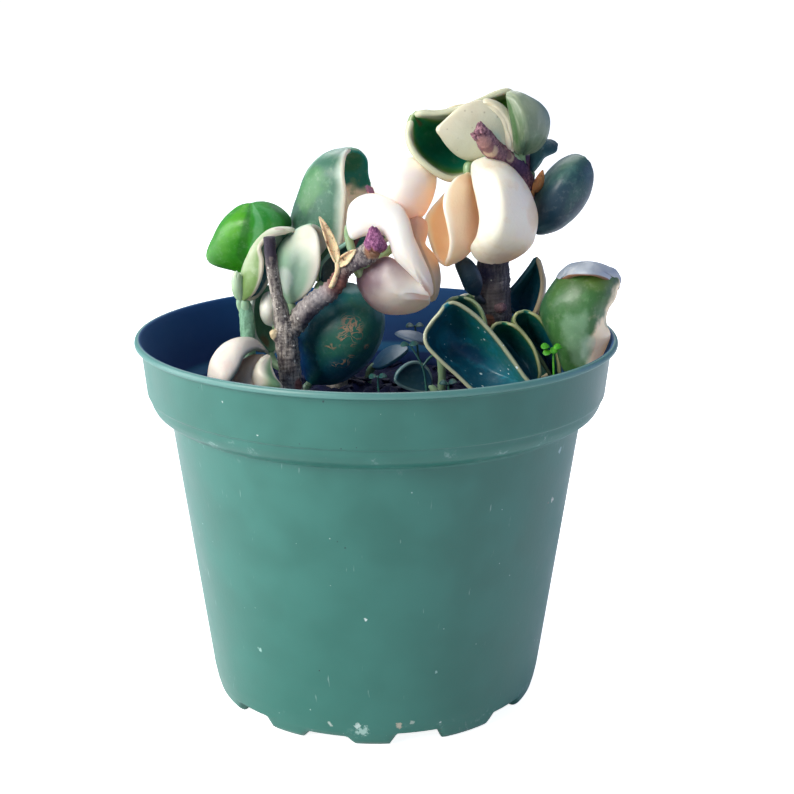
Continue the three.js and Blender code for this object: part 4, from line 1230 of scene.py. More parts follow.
def leaf_material(name, look, seed):
    """Waxy leaf skin: two skins that grade, clouds, patches, a pale margin and a stalk."""
    look = {**LEAF_LOOK, **look}
    material, tree, skin = new_material(name)
    zones = use(tree, "leaf zones", Waver=0.12)
    clouds = use(tree, "mottle", Seed=seed * 0.013)

    def graded(side):
        """The two colours of one side of the leaf, as its fade grades them."""
        a, b, low, high = look[side + "_fade"]
        way = maths(tree, "MULTIPLY", zones["Along"], a)
        way = maths(tree, "ADD", way, maths(tree, "MULTIPLY", zones["Across"], b))
        uneven = maths(tree, "MULTIPLY", maths(tree, "SUBTRACT", clouds["Tone"], 0.5), 0.6)
        return blend(tree, ramp(tree, maths(tree, "ADD", way, uneven), low, high), *map(tint, look[side]))

    colour = blend(tree, zones["Hollow"], graded("outer"), graded("inner"))
    if look["streaks"]:
        streak = use(tree, "leaf streaks", Seed=seed * 1.7)["Streak"]
        streak = maths(tree, "MULTIPLY", streak, look["streaks"])
        colour = blend(tree, streak, colour, tint(look["streak_colour"]))
    if look["mottle"]:
        patch = maths(tree, "MULTIPLY", clouds["Patch"], look["mottle"])
        colour = blend(tree, patch, colour, tint(look["mottle_colour"]))
    for along, across, length, width, code, strength in look["patches"]:
        patch = use(
            tree, "leaf patch", At_Along=along, At_Across=across, Length=length, Width=width,
            Waver=zones["Waver"],
        )["Patch"]
        colour = blend(tree, maths(tree, "MULTIPLY", patch, strength), colour, tint(code))
    if look["margin_side"]:
        across = maths(tree, "MULTIPLY", zones["Across"], float(look["margin_side"]))
    else:
        across = maths(tree, "ABSOLUTE", zones["Across"])
    waver = maths(tree, "MULTIPLY", zones["Waver"], 0.35)
    edge = maths(tree, "ADD", maths(tree, "MAXIMUM", across, zones["End"]), waver)
    start, soft = 1 - look["margin_width"], look["margin_soft"]
    if look["margin_blend"]:
        band = ramp(tree, edge, start - 3 * soft, start)
        colour = blend(tree, band, colour, tint(look["margin_blend"]))
    colour = blend(tree, ramp(tree, edge, start - soft, start + soft), colour, tint(look["margin"]))
    height = clouds["Height"]
    if look["specks"]:
        speck = use(tree, "dots", Scale=520.0, Size=0.19, Share=0.4)["Dot"]
        speck = maths(tree, "MULTIPLY", speck, look["specks"])
        colour = blend(tree, speck, colour, tint(look["speck_colour"]))
    if look["scabs"]:
        scab = scab_mask(tree)
        crusts = blend(tree, clouds["Patch"], *map(tint, LEAF_SKIN["scar"]))
        colour = blend(tree, scab, colour, crusts)
        height = maths(tree, "ADD", height, maths(tree, "MULTIPLY", scab, 1.6))
    tone = graded_value(tree, clouds["Tone"], 0.3, 0.7, 0.0, 0.14)
    colour = blend(tree, tone, colour, tint(LEAF_SKIN["shade"]))
    bloom = maths(tree, "MULTIPLY", clouds["Bloom"], 0.05)
    colour = blend(tree, bloom, colour, tint(LEAF_SKIN["bloom"]))
    colour = blend(tree, zones["Stalk"], colour, tint(look["stalk"]))
    rough = graded_value(tree, clouds["Tone"], 0.3, 0.7, 0.36, 0.54)
    tree.links.new(colour, skin.inputs["Base Color"])
    tree.links.new(rough, skin.inputs["Roughness"])
    tree.links.new(bump(tree, height, 0.3, 0.0003), skin.inputs["Normal"])
    skin.inputs["Coat Weight"].default_value = look["gloss"]
    skin.inputs["Coat Roughness"].default_value = 0.25
    skin.inputs["Subsurface Weight"].default_value = look["glow"]
    skin.inputs["Subsurface Radius"].default_value = (1.0, 0.7, 0.45)
    skin.inputs["Subsurface Scale"].default_value = look["bleed"] * MM
    # Painted glow: the leaf gives off its own colour, tinted warm, as light at its through strength, though
    # it is no lamp.
    painted_glow_tint = tint(LEAF_SKIN["painted_glow_tint"])[:3]
    shine = add(tree, "ShaderNodeVectorMath", {0: colour, 1: painted_glow_tint}, operation="MULTIPLY").outputs[0]
    tree.links.new(shine, skin.inputs["Emission Color"])
    skin.inputs["Emission Strength"].default_value = look["through"]
    return material


SCAB_PLACES = [  # the corky scars on the big dark leaf, with their radius
    (-9, 2, 121.3, 2.1), (-7.4, 2, 119.4, 3), (-6.3, 2, 116.8, 2.3), (-10.3, 2, 118.2, 1.7),
    (-9.9, 2, 115, 2.3), (-7.6, 2, 114.2, 1.6), (-15, 3, 111.8, 1.3), (-13.6, 3, 112.6, 0.9),
    (-7.9, 4, 108.8, 1), (-10, 5, 106.2, 1.7), (-2.9, 5, 111.8, 0.9), (-7.4, 4, 107, 0.9),
    (-13.2, 5, 105.4, 1.2),
]


def place_mask(tree, places, edge=0.6, ragged=0.0):
    """A soft spot at each place, given in millimetres with its radius, round or ragged."""
    where = add(tree, "ShaderNodeTexCoord").outputs["Object"]
    if ragged:
        drift = add(tree, "ShaderNodeTexNoise", {"Vector": where, "Scale": 900.0, "Detail": 4.0}).outputs[1]
        centred = {0: drift, 1: (0.5, 0.5, 0.5)}
        drift = add(tree, "ShaderNodeVectorMath", centred, operation="SUBTRACT").outputs[0]
        strayed = {0: drift, 1: (ragged * MM,) * 3, 2: where}
        where = add(tree, "ShaderNodeVectorMath", strayed, operation="MULTIPLY_ADD").outputs[0]
    total = None
    for x, y, z, radius in places:
        away = add(
            tree, "ShaderNodeVectorMath", {0: where, 1: (x * MM, y * MM, z * MM)}, operation="DISTANCE"
        ).outputs["Value"]
        spot = ramp(tree, away, radius * (1 + edge) * MM, radius * (1 - edge) * MM)
        total = spot if total is None else maths(tree, "MAXIMUM", total, spot)
    return total


def scab_mask(tree):
    """Crusty curved scars inside a few round places."""
    where = add(tree, "ShaderNodeTexCoord").outputs["Object"]
    crust = noisy(tree, where, 260.0, 3.0, Distortion=1.6)
    line = maths(tree, "ABSOLUTE", maths(tree, "SUBTRACT", crust, 0.5))
    return maths(tree, "MULTIPLY", place_mask(tree, SCAB_PLACES), ramp(tree, line, 0.055, 0.03))


def bark_material(name, old, young, tip, dots, stains_and_painted_light=(), dirty=0.7):
    """Bark that clouds between old and young, with the colours of its tip, fine fibres, pale pores and
    coloured spots, which are real staining, painted highlights, painted shade and a painted shadow. A spot
    is its place and radius in millimetres, its colour and its strength."""
    material, tree, skin = new_material(name)
    where = add(tree, "ShaderNodeTexCoord").outputs["Object"]
    age = add(tree, "ShaderNodeAttribute", attribute_name="age").outputs["Fac"]
    fine = noisy(tree, where, 900.0, 6.0, Roughness=0.75)
    broad = noisy(tree, where, 200.0, 4.0)
    drawn = add(tree, "ShaderNodeMapping", {"Vector": where, "Scale": (1.0, 1.0, 0.16)}).outputs[0]
    fibre = noisy(tree, drawn, 1100.0, 3.0)
    grain = maths(tree, "ADD", maths(tree, "MULTIPLY", fine, 0.5), maths(tree, "MULTIPLY", fibre, 0.5))
    colour = blend(tree, ramp(tree, grain, 0.4, 0.6), tint(old), tint(young))
    dirt = maths(tree, "MULTIPLY", ramp(tree, broad, 0.5, 0.66), dirty)
    colour = blend(tree, dirt, colour, tint("2c2030"))
    crust = maths(tree, "MULTIPLY", ramp(tree, fine, 0.5, 0.62), ramp(tree, broad, 0.5, 0.38))
    colour = blend(tree, maths(tree, "MULTIPLY", crust, dirty), colour, tint("b9b0aa"))
    scaly = blend(tree, ramp(tree, fine, 0.4, 0.64), tint(tip[0]), tint(tip[1]))
    colour = blend(tree, ramp(tree, age, 0.1, 0.8), colour, scaly)
    dot = use(tree, "dots", Scale=760.0, Size=0.25, Share=dots)["Dot"]
    fewer = maths(tree, "MULTIPLY", dot, ramp(tree, age, 0.5, 0.1))
    colour = blend(tree, fewer, colour, tint("ece4d6"))
    for x, y, z, radius, code, strength in stains_and_painted_light:
        edge = 0.6 if radius > 2.8 else 0.2  # a broad stain fades out, a small one has a border
        stain = maths(tree, "MULTIPLY", place_mask(tree, [(x, y, z, radius)], edge, ragged=0.8), strength)
        colour = blend(tree, stain, colour, tint(code))
    height = maths(tree, "ADD", grain, maths(tree, "MULTIPLY", fewer, 0.8))
    tree.links.new(colour, skin.inputs["Base Color"])
    tree.links.new(bump(tree, height, 0.9, 0.0007), skin.inputs["Normal"])
    skin.inputs["Roughness"].default_value = 0.66
    return material


def plain_skin(name, a, b, grain, rough, height, glow=0.0):
    """A surface that clouds between two colours at one grain."""
    material, tree, skin = new_material(name)
    clouds = use(tree, "mottle", Grain=grain)
    tree.links.new(blend(tree, clouds["Patch"], tint(a), tint(b)), skin.inputs["Base Color"])
    tree.links.new(bump(tree, clouds["Height"], height, 0.0004), skin.inputs["Normal"])
    skin.inputs["Roughness"].default_value = rough
    skin.inputs["Subsurface Weight"].default_value = glow
    skin.inputs["Subsurface Scale"].default_value = 0.002
    return material


def pot_material():
    """Thin green plastic: cloudy wear, smears by the foot, fine scratches and specks, a painted highlight
    on the rim's lip, and inside a painted shade, darkest deep down, with a painted highlight along its
    ledge.
    """
    material, tree, skin = new_material("nursery_plastic")
    where = add(tree, "ShaderNodeTexCoord").outputs["Object"]
    level = add(tree, "ShaderNodeSeparateXYZ", {0: where}).outputs["Z"]
    inside = add(tree, "ShaderNodeAttribute", attribute_name="inside").outputs["Fac"]
    clouds = use(tree, "mottle", Grain=55.0)
    colour = blend(tree, ramp(tree, clouds["Tone"], 0.3, 0.7), tint("2c685c"), tint("347266"))
    faded = maths(tree, "MULTIPLY", ramp(tree, level, 100 * MM, 4 * MM), 0.35)
    colour = blend(tree, faded, colour, tint("286a5e"))
    stretched = add(tree, "ShaderNodeMapping", {"Vector": where, "Scale": (1.0, 1.0, 0.08)}).outputs[0]
    hair = noisy(tree, stretched, 900.0, 2.0)
    scratch = maths(tree, "MULTIPLY", ramp(tree, hair, 0.72, 0.8), 0.5)
    rub = noisy(tree, where, 240.0, 6.0, Roughness=0.8)
    under_collar = maths(
        tree, "MULTIPLY", ramp(tree, level, 90 * MM, 95 * MM), ramp(tree, level, 101 * MM, 97 * MM)
    )
    low = ramp(tree, level, 9 * MM, 3 * MM)
    touched = maths(tree, "MAXIMUM", under_collar, low)
    touched = maths(tree, "MULTIPLY", touched, ramp(tree, clouds["Tone"], 0.5, 0.62))
    rubbed = maths(tree, "MULTIPLY", ramp(tree, rub, 0.55, 0.68), touched)
    dust = use(tree, "dots", Scale=300.0, Size=0.055, Share=0.12)["Dot"]
    dirt = use(tree, "dots", Scale=170.0, Size=0.03, Share=0.14)["Dot"]
    worn = maths(tree, "MAXIMUM", maths(tree, "MAXIMUM", scratch, dust), rubbed)
    colour = blend(tree, maths(tree, "MULTIPLY", worn, 0.5), colour, tint("c4dcd6"))
    colour = blend(tree, dirt, colour, tint("1a2a30"))
    for x, y, z, radius, code in POT_MARKS:
        spot = place_mask(tree, [(x, y, z, radius)], 0.3, ragged=radius * 3.5)
        spot = maths(tree, "MULTIPLY", spot, 0.75)
        colour = blend(tree, spot, colour, tint(code))
    # Painted highlight: the top of the rim's lip is painted lighter.
    lip_highlight = maths(tree, "MULTIPLY", ramp(tree, level, 115.6 * MM, 116.4 * MM), 0.35)
    colour = blend(tree, lip_highlight, colour, tint("7fa8a4"))
    # Painted shade: the inside of the wall is painted dark navy, darkest deep down and lighter towards the
    # rim.
    dark = blend(tree, ramp(tree, level, 92 * MM, 117 * MM), tint("002c66"), tint("00467c"))
    # Painted highlight: a lighter band along the ledge inside the wall.
    step = maths(
        tree, "MULTIPLY", ramp(tree, level, 95.6 * MM, 96.4 * MM), ramp(tree, level, 99.4 * MM, 98 * MM)
    )
    dark = blend(tree, maths(tree, "MULTIPLY", step, 0.5), dark, tint("2a7494"))
    colour = blend(tree, inside, colour, dark)
    rough = graded_value(tree, clouds["Tone"], 0.3, 0.7, 0.3, 0.42)
    rough = maths(tree, "ADD", rough, maths(tree, "MULTIPLY", inside, 0.4))
    tree.links.new(colour, skin.inputs["Base Color"])
    tree.links.new(rough, skin.inputs["Roughness"])
    height = maths(tree, "ADD", maths(tree, "MULTIPLY", clouds["Height"], 0.3), clouds["Tone"])
    tree.links.new(bump(tree, height, 0.12, 0.0006), skin.inputs["Normal"])
    return material


POT_MARKS = [  # stains, chips and smears on the outside: place, radius and colour
    (-8.9, -61.2, 68, 0.31, "10202a"), (-2.9, -58.5, 44.9, 0.5, "dfe8e4"),
    (-3.9, -52.9, 6, 1.61, "a9c6bc"), (-5.7, -53, 7.7, 0.93, "c8d8d0"),
    (-14, -51.4, 7.6, 0.74, "b9c4ba"), (7, -52.9, 7.6, 0.93, "c0b09c"),
    (11.2, -52.3, 8.4, 0.74, "a8b4a8"), (53.6, -32.1, 72.7, 0.81, "d5d2c8"),
    (52.2, -34.2, 72.5, 0.37, "8a7a6a"), (62.2, -15.5, 84.5, 1.36, "a9c4c4"),
    (55.4, -33.5, 89, 0.99, "9ab8ba"), (-43.4, -59.3, 111.1, 0.31, "e4ece8"),
    (-33.3, -64.5, 102.9, 0.25, "dfe8e4"), (-50.7, -53.6, 113.7, 0.25, "14202a"),
    (-14.5, -72.5, 115, 0.31, "0c181c"), (-21.1, -69.3, 101.8, 0.22, "14242a"),
    (-9.7, -71.8, 101.1, 0.22, "14242a"), (1.4, -73.5, 111.6, 0.25, "d5e4e0"),
    (-35.3, -43.9, 28.5, 0.62, "9cc4b8"), (19.5, -49.6, 7.3, 0.37, "c4d4d0"),
    (18, -52.9, 25.4, 0.43, "8fb4ae"), (52, -18.6, 20.7, 0.31, "cfdcd8"),
    (54.3, -15.6, 29.8, 0.31, "cfdcd8"),
]


# ---------- the blade of a leaf ----------

BLADE = {
    "rows": 56, "columns": 46, "thickness": 2.1, "small_thickness": 1.5, "rim": 0.72,
    "neck": 0.12, "tip_width": 0.03, "stalk_radius": 1.35, "stalk_bend": 0.35, "lump": 0.22,
}


def swell_at(u, outline):
    """How wide a leaf is at u, as a share of its widest, for one of the outlines."""
    widest, point = OUTLINES[outline]
    swell = np.sin(np.pi * np.clip(u, 1e-6, 1 - 1e-6) ** (math.log(0.5) / math.log(widest))) ** point
    return np.maximum(swell, np.where(u < 0.5, BLADE["neck"], BLADE["tip_width"]))[:, None]


def plain_leaf_lines(leaf, u):
    """Left edge, midrib and right edge of a leaf given by its ends, its back and its widest steps."""
    base, tip, back, left, right = (
        np.array(leaf[key], float) * MM for key in ("base", "tip", "back", "left", "right")
    )
    share, along = swell_at(u, leaf["outline"]), u[:, None]
    bow = 2 * back - (base + tip) / 2
    rib = base * (1 - along) ** 2 + bow * 2 * along * (1 - along) + tip * along**2
    return rib + left * share, rib, rib + right * share


def drawn_leaf_lines(leaf, u):
    """The same three lines of a leaf whose edges and midrib are drawn point by point."""
    return [smooth_line(line, u) for line in leaf["lines"]]


def blade_middle(leaf, u, v):
    """The middle surface of a blade: u runs along the midrib, v across it from -1 to 1.
    Across, each half is a quarter of an ellipse from the midrib up to its edge."""
    lines = drawn_leaf_lines if "lines" in leaf else plain_leaf_lines
    left, rib, right = lines(leaf, u)
    if leaf.get("turned"):
        left, right = right, left
    across = unit(right - left)
    v = v[:, None]
    edge = np.where(v < 0, left, right) - rib
    sideways = across * (edge * across).sum(1, keepdims=True)
    angle = np.abs(v) * (math.pi / 2)
    return rib + sideways * np.sin(angle) + (edge - sideways) * (1 - np.cos(angle))


def facing_hollow(leaf):
    """The leaf with its two edges named so that the blade's facing side is its hollow."""
    middle = np.array([0.5])
    places = ((0.01, 0), (-0.01, 0), (0, 0.02), (0, -0.02), (0, 1), (0, -1), (0, 0))
    at = [blade_middle(leaf, middle + du, np.array([dv])) for du, dv in places]
    facing = np.cross(at[0] - at[1], at[2] - at[3])
    hollow = (facing * (at[4] + at[5] - 2 * at[6])).sum()
    return leaf if hollow > 0 else {**leaf, "turned": True}


def blade(bm, leaf, seed):
    """A closed blade of two grids, thick at the midrib, rounded at its edge and slightly uneven."""
    leaf = facing_hollow(leaf)
    layer = bm.verts.layers.float_vector["leaf_place"]
    usual = BLADE["small_thickness" if leaf.get("small") else "thickness"]
    thickness = leaf.get("thickness", usual) * MM
    step = 0.004  # in u and v, to find which way the surface faces
    for side in (1, -1):
        grid = bmesh.ops.create_grid(bm, x_segments=BLADE["rows"], y_segments=BLADE["columns"], size=1)
        flat = np.array([vert.co for vert in grid["verts"]])
        u = (1 - np.cos(np.pi * (flat[:, 0] + 1) / 2)) / 2
        v = np.sign(flat[:, 1]) * (1 - (1 - np.abs(flat[:, 1])) ** 1.5)
        middle = blade_middle(leaf, u, v)
        on_u, on_v = np.clip(u, step, 1 - step), np.clip(v, step - 1, 1 - step)
        along = blade_middle(leaf, on_u + step, on_v) - blade_middle(leaf, on_u - step, on_v)
        over = blade_middle(leaf, on_u, on_v + step) - blade_middle(leaf, on_u, on_v - step)
        rib_way = unit(blade_middle(leaf, on_u + step, v * 0) - blade_middle(leaf, on_u - step, v * 0))
        facing = unit(np.cross(along, over))
        lean = (facing * rib_way).sum(1) * 0.8 * (2 * u - 1) ** 2
        facing = unit(facing - rib_way * lean[:, None])
        width = np.linalg.norm(over, axis=1) / (2 * step)
        ends = blade_middle(leaf, np.array([0, 1]), np.zeros(2))
        length = np.linalg.norm(ends[1] - ends[0])
        full = thickness / 2 * (1 - (1 - BLADE["rim"]) * v * v)
        full = np.minimum(full, width * 0.45 + 0.1 * MM)
        to_edge = np.minimum((1 - np.abs(v)) * width, (1 - u) * length * 0.9)
        to_edge = np.minimum(to_edge, u * length + 0.0002)
        roundness = np.sqrt(np.clip(1 - (1 - np.clip(to_edge / full, 0, 1)) ** 2, 0, 1))
        border = (np.abs(flat) > 1 - 1e-5).any(axis=1)
        half = np.where(border, 0, full * roundness)
        uneven = np.array([lumps(p, 7, seed) + 0.4 * lumps(p, 2.5, seed + 5) for p in middle])
        push = uneven * BLADE["lump"] * MM * np.clip(to_edge / (2 * MM), 0, 1)
        places = middle + facing * (half * side + push)[:, None]
        depth = side * half / (thickness / 2)
        for vert, place, a, b, c in zip(grid["verts"], places, u, v, depth):
            vert.co = place
            vert[layer] = (a, -b if leaf.get("turned") else b, c)
    bmesh.ops.remove_doubles(bm, verts=bm.verts, dist=1e-7)


# ---------- limbs: stems, stalks and threads ----------


def limb(bm, points, radii, sides, per_mm, rough=0.0, rings=0.0, seed=0, values=None):
    """A closed limb: a grid wrapped round a smooth line, its ends closed in a flat cap.
    rough is uneven bark and rings the ridges round it, both as shares of the radius. values are what
    each vertex layer holds, as one value or as a function of the share of the way along."""
    length = np.linalg.norm(np.diff(np.array(points, float), axis=0), axis=1).sum()
    rows = max(6, int(length * per_mm))
    shares = np.linspace(0, 1, rows + 1)
    centres = smooth_line(points, shares)
    way = unit(np.gradient(centres, axis=0))
    side = unit(np.cross([0.3, 1, 0.2], way[0]))
    spread = np.interp(shares * (len(radii) - 1), range(len(radii)), radii) * MM
    frames = []
    for centre, ahead, radius in zip(centres, way, spread):
        side = unit(side - ahead * np.dot(side, ahead))
        frames.append((centre, side, np.cross(ahead, side), radius))
    grid = bmesh.ops.create_grid(bm, x_segments=rows + 2, y_segments=sides, size=1)
    for vert in grid["verts"]:
        row = round((vert.co.x + 1) / 2 * (rows + 2)) - 1
        turn = (vert.co.y + 1) * math.pi
        capped = row < 0 or row > rows
        row = min(max(row, 0), rows)
        centre, a, b, radius = frames[row]
        spoke = a * math.cos(turn) + b * math.sin(turn)
        if capped:
            place = centre
        else:
            spot = centre + spoke * radius
            ridge = math.sin(row * 1.9 / per_mm + 1.5 * lumps(spot, 6, seed)) ** 2
            swell = 1 + rings * (ridge - 0.4)
            swell += rough * (lumps(spot, 3.2, seed) + 0.6 * lumps(spot, 1.3, seed + 3))
            place = centre + spoke * radius * swell
        vert.co = place
        for layer, value in (values or {}).items():
            vert[layer] = value(shares[row]) if callable(value) else value
    bmesh.ops.remove_doubles(bm, verts=grid["verts"], dist=1e-7)


GOLDEN_TURN = 2.39996  # radians from one scale of a bud to the next


def bud(bm, foot, way, length, radius, scales, age):
    """A pointed bud of overlapping scales set round a cone by the golden angle."""
    foot, way = Vector(foot) * MM, Vector(way).normalized()
    side = way.orthogonal().normalized()
    for k in range(scales):
        rise = k / scales
        spread = Matrix.Rotation(k * GOLDEN_TURN, 3, way) @ side
        reach = radius * MM * (1 - rise * 0.6)
        centre = foot + way * length * MM * rise * 0.75 + spread * reach * 0.5
        scale = bmesh.ops.create_uvsphere(bm, u_segments=10, v_segments=8, radius=1)["verts"]
        tall = length * MM * (0.4 - 0.14 * rise)
        tilt = (way + spread * 0.18 * (1 - rise)).normalized()
        other = tilt.cross(spread).normalized()
        out = other.cross(tilt).normalized()
        for vert in scale:
            x, y, z = vert.co
            narrow = 1 - 0.55 * max(z, 0)
            vert.co = centre + other * x * reach * 0.85 * narrow + out * y * reach * 0.38 + tilt * z * tall
            vert[age] = 1.0


# ---------- the pot ----------


def rounded(profile, radius, steps=4):
    """The profile with each corner between its ends cut to a curve of about the given radius."""
    points = [np.array(p, float) for p in profile]
    curve = [points[0]]
    for before, corner, after in zip(points, points[1:], points[2:]):
        a, b = before - corner, after - corner
        reach_a = min(radius, np.linalg.norm(a) * 0.45)
        reach_b = min(radius, np.linalg.norm(b) * 0.45)
        start, end = corner + unit(a) * reach_a, corner + unit(b) * reach_b
        for k in range(steps + 1):
            t = k / steps
            curve.append(start * (1 - t) ** 2 + corner * 2 * t * (1 - t) + end * t * t)
    return curve + [points[-1]]


def pot_profile():
    """Half of the pot's section as radii and levels: out under the floor, up the outside, down inside."""
    height, foot = POT["height"], POT["foot_radius"]
    shoulder, collar = height - POT["shoulder_depth"], height - POT["collar_depth"]
    wall, step, rim = POT["wall"], POT["foot_height"], POT["rim_radius"]
    inner_floor = step + POT["floor"]
    return [
        (0, step), (foot - 3.4, step), (foot - 3.4, 0.3), (foot - 1.6, 0), (foot + 0.3, 1.6),
        (foot + 1.3, 5), (foot + 2.1, 9), (POT["shoulder_radius"], shoulder),
        (POT["shoulder_radius"] + 2.2, shoulder + 1), (POT["collar_bottom"] - 2.2, collar - 4.8),
        (POT["collar_bottom"] - 1, collar - 2.6), (POT["collar_bottom"] - 0.6, collar - 0.5),
        (POT["collar_bottom"] + 0.1, collar - 0.1), (POT["collar_top"], height - 2.4),
        (rim, height - 1.8), (rim, height - 0.8), (rim - 0.5, height), (rim - 1.8, height),
        (rim - 2.6, height - 2.4), (POT["collar_bottom"] - 1.7, height - 15),
        (POT["collar_bottom"] - 3.3, height - 20.4), (POT["shoulder_radius"] + 0.7, height - 21.8),
        (POT["shoulder_radius"] - wall, shoulder), (foot + 2.3 - wall, POT["inner_corner"]),
        (foot + 0.8 - wall, inner_floor), (0, inner_floor),
    ]


def spun(bm, profile, steps):
    """A closed solid of revolution about the plant's upright axis."""
    ring = [bm.verts.new((r * MM, 0, z * MM)) for r, z in profile]
    edges = [bm.edges.new(pair) for pair in zip(ring, ring[1:])]
    bmesh.ops.spin(
        bm, geom=ring + edges, cent=(0, 0, 0), axis=(0, 0, 1), angle=2 * math.pi, steps=steps,
        use_merge=True,
    )
    bmesh.ops.remove_doubles(bm, verts=bm.verts, dist=1e-6)
    bmesh.ops.recalc_face_normals(bm, faces=bm.faces)


def drill(piece):
    """Cuts the round drain holes through the floor of the pot."""
    bm = bmesh.new()
    for k in range(POT["drain_holes"]):
        angle = (k + 0.5) * 2 * math.pi / POT["drain_holes"]
        place = Matrix.Rotation(angle, 4, "Z") @ Matrix.Translation(
            (POT["drain_circle"] * MM, 0, POT["foot_height"] * MM)
        )
        bmesh.ops.create_cone(
            bm, cap_ends=True, segments=32, radius1=POT["drain_radius"] * MM,
            radius2=POT["drain_radius"] * MM, depth=20 * MM, matrix=place,
        )
    mesh = bpy.data.meshes.new("drills")
    bm.to_mesh(mesh)
    bm.free()
    drills = bpy.data.objects.new("drills", mesh)
    bpy.context.collection.objects.link(drills)
    cut = piece.modifiers.new("holes", "BOOLEAN")
    cut.operation, cut.solver, cut.object = "DIFFERENCE", "EXACT", drills
    drilled = bpy.data.meshes.new_from_object(piece.evaluated_get(bpy.context.evaluated_depsgraph_get()))
    piece.modifiers.clear()
    piece.data = drilled
    bpy.data.objects.remove(drills)
    return drilled


def notch_lift(turn):
    """How far the foot ring is cut away at an angle, as a share of its height: soft-cornered notches."""
    lift = 0
    for middle, depth in POT["notches"]:
        away = abs((math.degrees(turn) - middle + 180) % 360 - 180)
        edge = min(1, max(0, (POT["notch_angle"] / 2 + 1.6 - away) / 3.2))
        lift = max(lift, depth * edge * edge * (3 - 2 * edge))
    return lift


def make_pot():
    """The pot: a spun wall, notched at its foot ring, never quite round, with drilled drain holes."""
    bm = bmesh.new()
    spun(bm, rounded(pot_profile(), 0.8), POT["steps"])
    for vert in bm.verts:
        x, y, z = vert.co / MM
        turn = math.atan2(x, -y)
        give = 1 + POT["out_of_round"] * (z / POT["height"]) ** 2 * math.sin(2 * turn + 0.6)
        if z < POT["foot_height"] - 0.01 and math.hypot(x, y) > POT["foot_ring_inside"]:
            z += notch_lift(turn) * (POT["foot_height"] - 0.2 - z)
        vert.co = Vector((x * give, y * give, z)) * MM
    pot = keep("pot_shell", bm, ["pot"], pot_material())
    drilled = drill(pot)
    place = np.array([vert.co for vert in drilled.vertices])
    facing = np.array([vert.normal for vert in drilled.vertices])
    inward = -(facing[:, :2] * unit(place[:, :2])).sum(1)
    hidden = np.clip(inward * 3, 0, 1) * (place[:, 2] > 6 * MM)
    drilled.attributes.new("inside", "FLOAT", "POINT").data.foreach_set("value", hidden)
    drilled.set_sharp_from_angle(angle=math.radians(38))


# ---------- soil, bark chips and weeds ----------


def soil_top(x, y):
    """How far the soil's surface stands above its mean level at a place in millimetres."""
    waves = math.sin(x * 0.31 + 0.7) * math.cos(y * 0.27) + 0.6 * math.sin(x * 0.73 - y * 0.61)
    small = 1.1 * lumps((x * MM, y * MM, 0), 4, 2) + 0.6 * lumps((x * MM, y * MM, 0), 1.6, 4)
    return (SOIL["lump"] * waves + small) * min(1, (SOIL["level_edge"] - math.hypot(x, y)) / 8)


def make_soil():
    """The soil: a body that follows the pot's wall, with an uneven top, and bark chips strewn on it."""
    bm = bmesh.new()
    corner = POT["inner_corner"]
    shoulder = POT["height"] - POT["shoulder_depth"]
    slope = (POT["shoulder_radius"] - POT["foot_radius"] - 2.5) / (shoulder - corner)
    foot = POT["foot_radius"] + 2.5 - POT["wall"] - 0.5
    rim = foot + (SOIL["top"] - corner) * slope
    profile = [(0, SOIL["bottom"]), (POT["foot_radius"] - 1.3, SOIL["bottom"]), (foot, corner + 0.5)]
    profile += [(rim * k / SOIL["rings"], SOIL["top"]) for k in range(SOIL["rings"], -1, -1)]
    spun(bm, profile, SOIL["steps"])
    for vert in bm.verts:
        if vert.co.z > (SOIL["top"] - 0.1) * MM:
            vert.co.z += soil_top(vert.co.x / MM, vert.co.y / MM) * MM
    damp = plain_skin("damp_soil", "030838", "0a144c", 260.0, 0.9, 1.0)
    keep("soil_bed", bm, ["soil"], damp)

    draw = np.random.default_rng(11)
    bm = bmesh.new()
    for k in range(SOIL["chips"]):
        away, turn = SOIL["chips_within"] * math.sqrt(draw.random()), draw.random() * 2 * math.pi
        x, y = away * math.cos(turn), away * math.sin(turn)
        long, wide, thick = draw.uniform(1.6, 4.2), draw.uniform(1.0, 2.2), draw.uniform(0.5, 1.2)
        lie = (
            Matrix.Translation(Vector((x, y, SOIL["top"] + soil_top(x, y) + thick * 0.4)) * MM)
            @ Matrix.Rotation(draw.uniform(0, 6.3), 4, "Z")
            @ Matrix.Rotation(draw.uniform(-0.5, 0.5), 4, "Y")
            @ Matrix.Diagonal((long * MM, wide * MM, thick * MM, 1))
        )
        chip = bmesh.ops.create_icosphere(bm, subdivisions=1, radius=1)["verts"]
        for vert in chip:
            vert.co *= 1 + 0.28 * lumps(vert.co * MM, 0.9, k)
            vert.co = lie @ vert.co
    wet = plain_skin("wet_bark", "060a34", "1a1a40", 420.0, 0.75, 0.8)
    keep("bark_chips", bm, ["soil"], wet, smooth=False)


WEED_RADII = [0.42, 0.4, 0.34, 0.3]


def make_weed(name, weed, material):
    """A weed: thin threads with small cupped leaflets, each at a place and turned by an angle."""
    bm = bmesh.new()
    for k, thread in enumerate(weed["threads"]):
        limb(bm, thread, WEED_RADII[: len(thread)], sides=8, per_mm=1.5, seed=k)
    for x, y, z, turn in weed["leaflets"]:
        leaflet = bmesh.ops.create_uvsphere(bm, u_segments=16, v_segments=10, radius=1)["verts"]
        spin = Matrix.Rotation(math.radians(turn), 3, "Z")
        lean = Matrix.Rotation(math.radians(weed.get("lean", 25)), 3, "X")
        for vert in leaflet:
            px, py, pz = vert.co
            cup = 0.28 * py * py - 0.3 * px * px
            shape = Vector((px * 1.4, py * 1.25 * (1 - 0.2 * px), pz * 0.3 + cup))
            vert.co = (Vector((x, y, z)) + lean @ (spin @ shape)) * MM
    bmesh.ops.recalc_face_normals(bm, faces=bm.faces)
    keep(name + "_sprig", bm, [name], material)


# ---------- the plant ----------


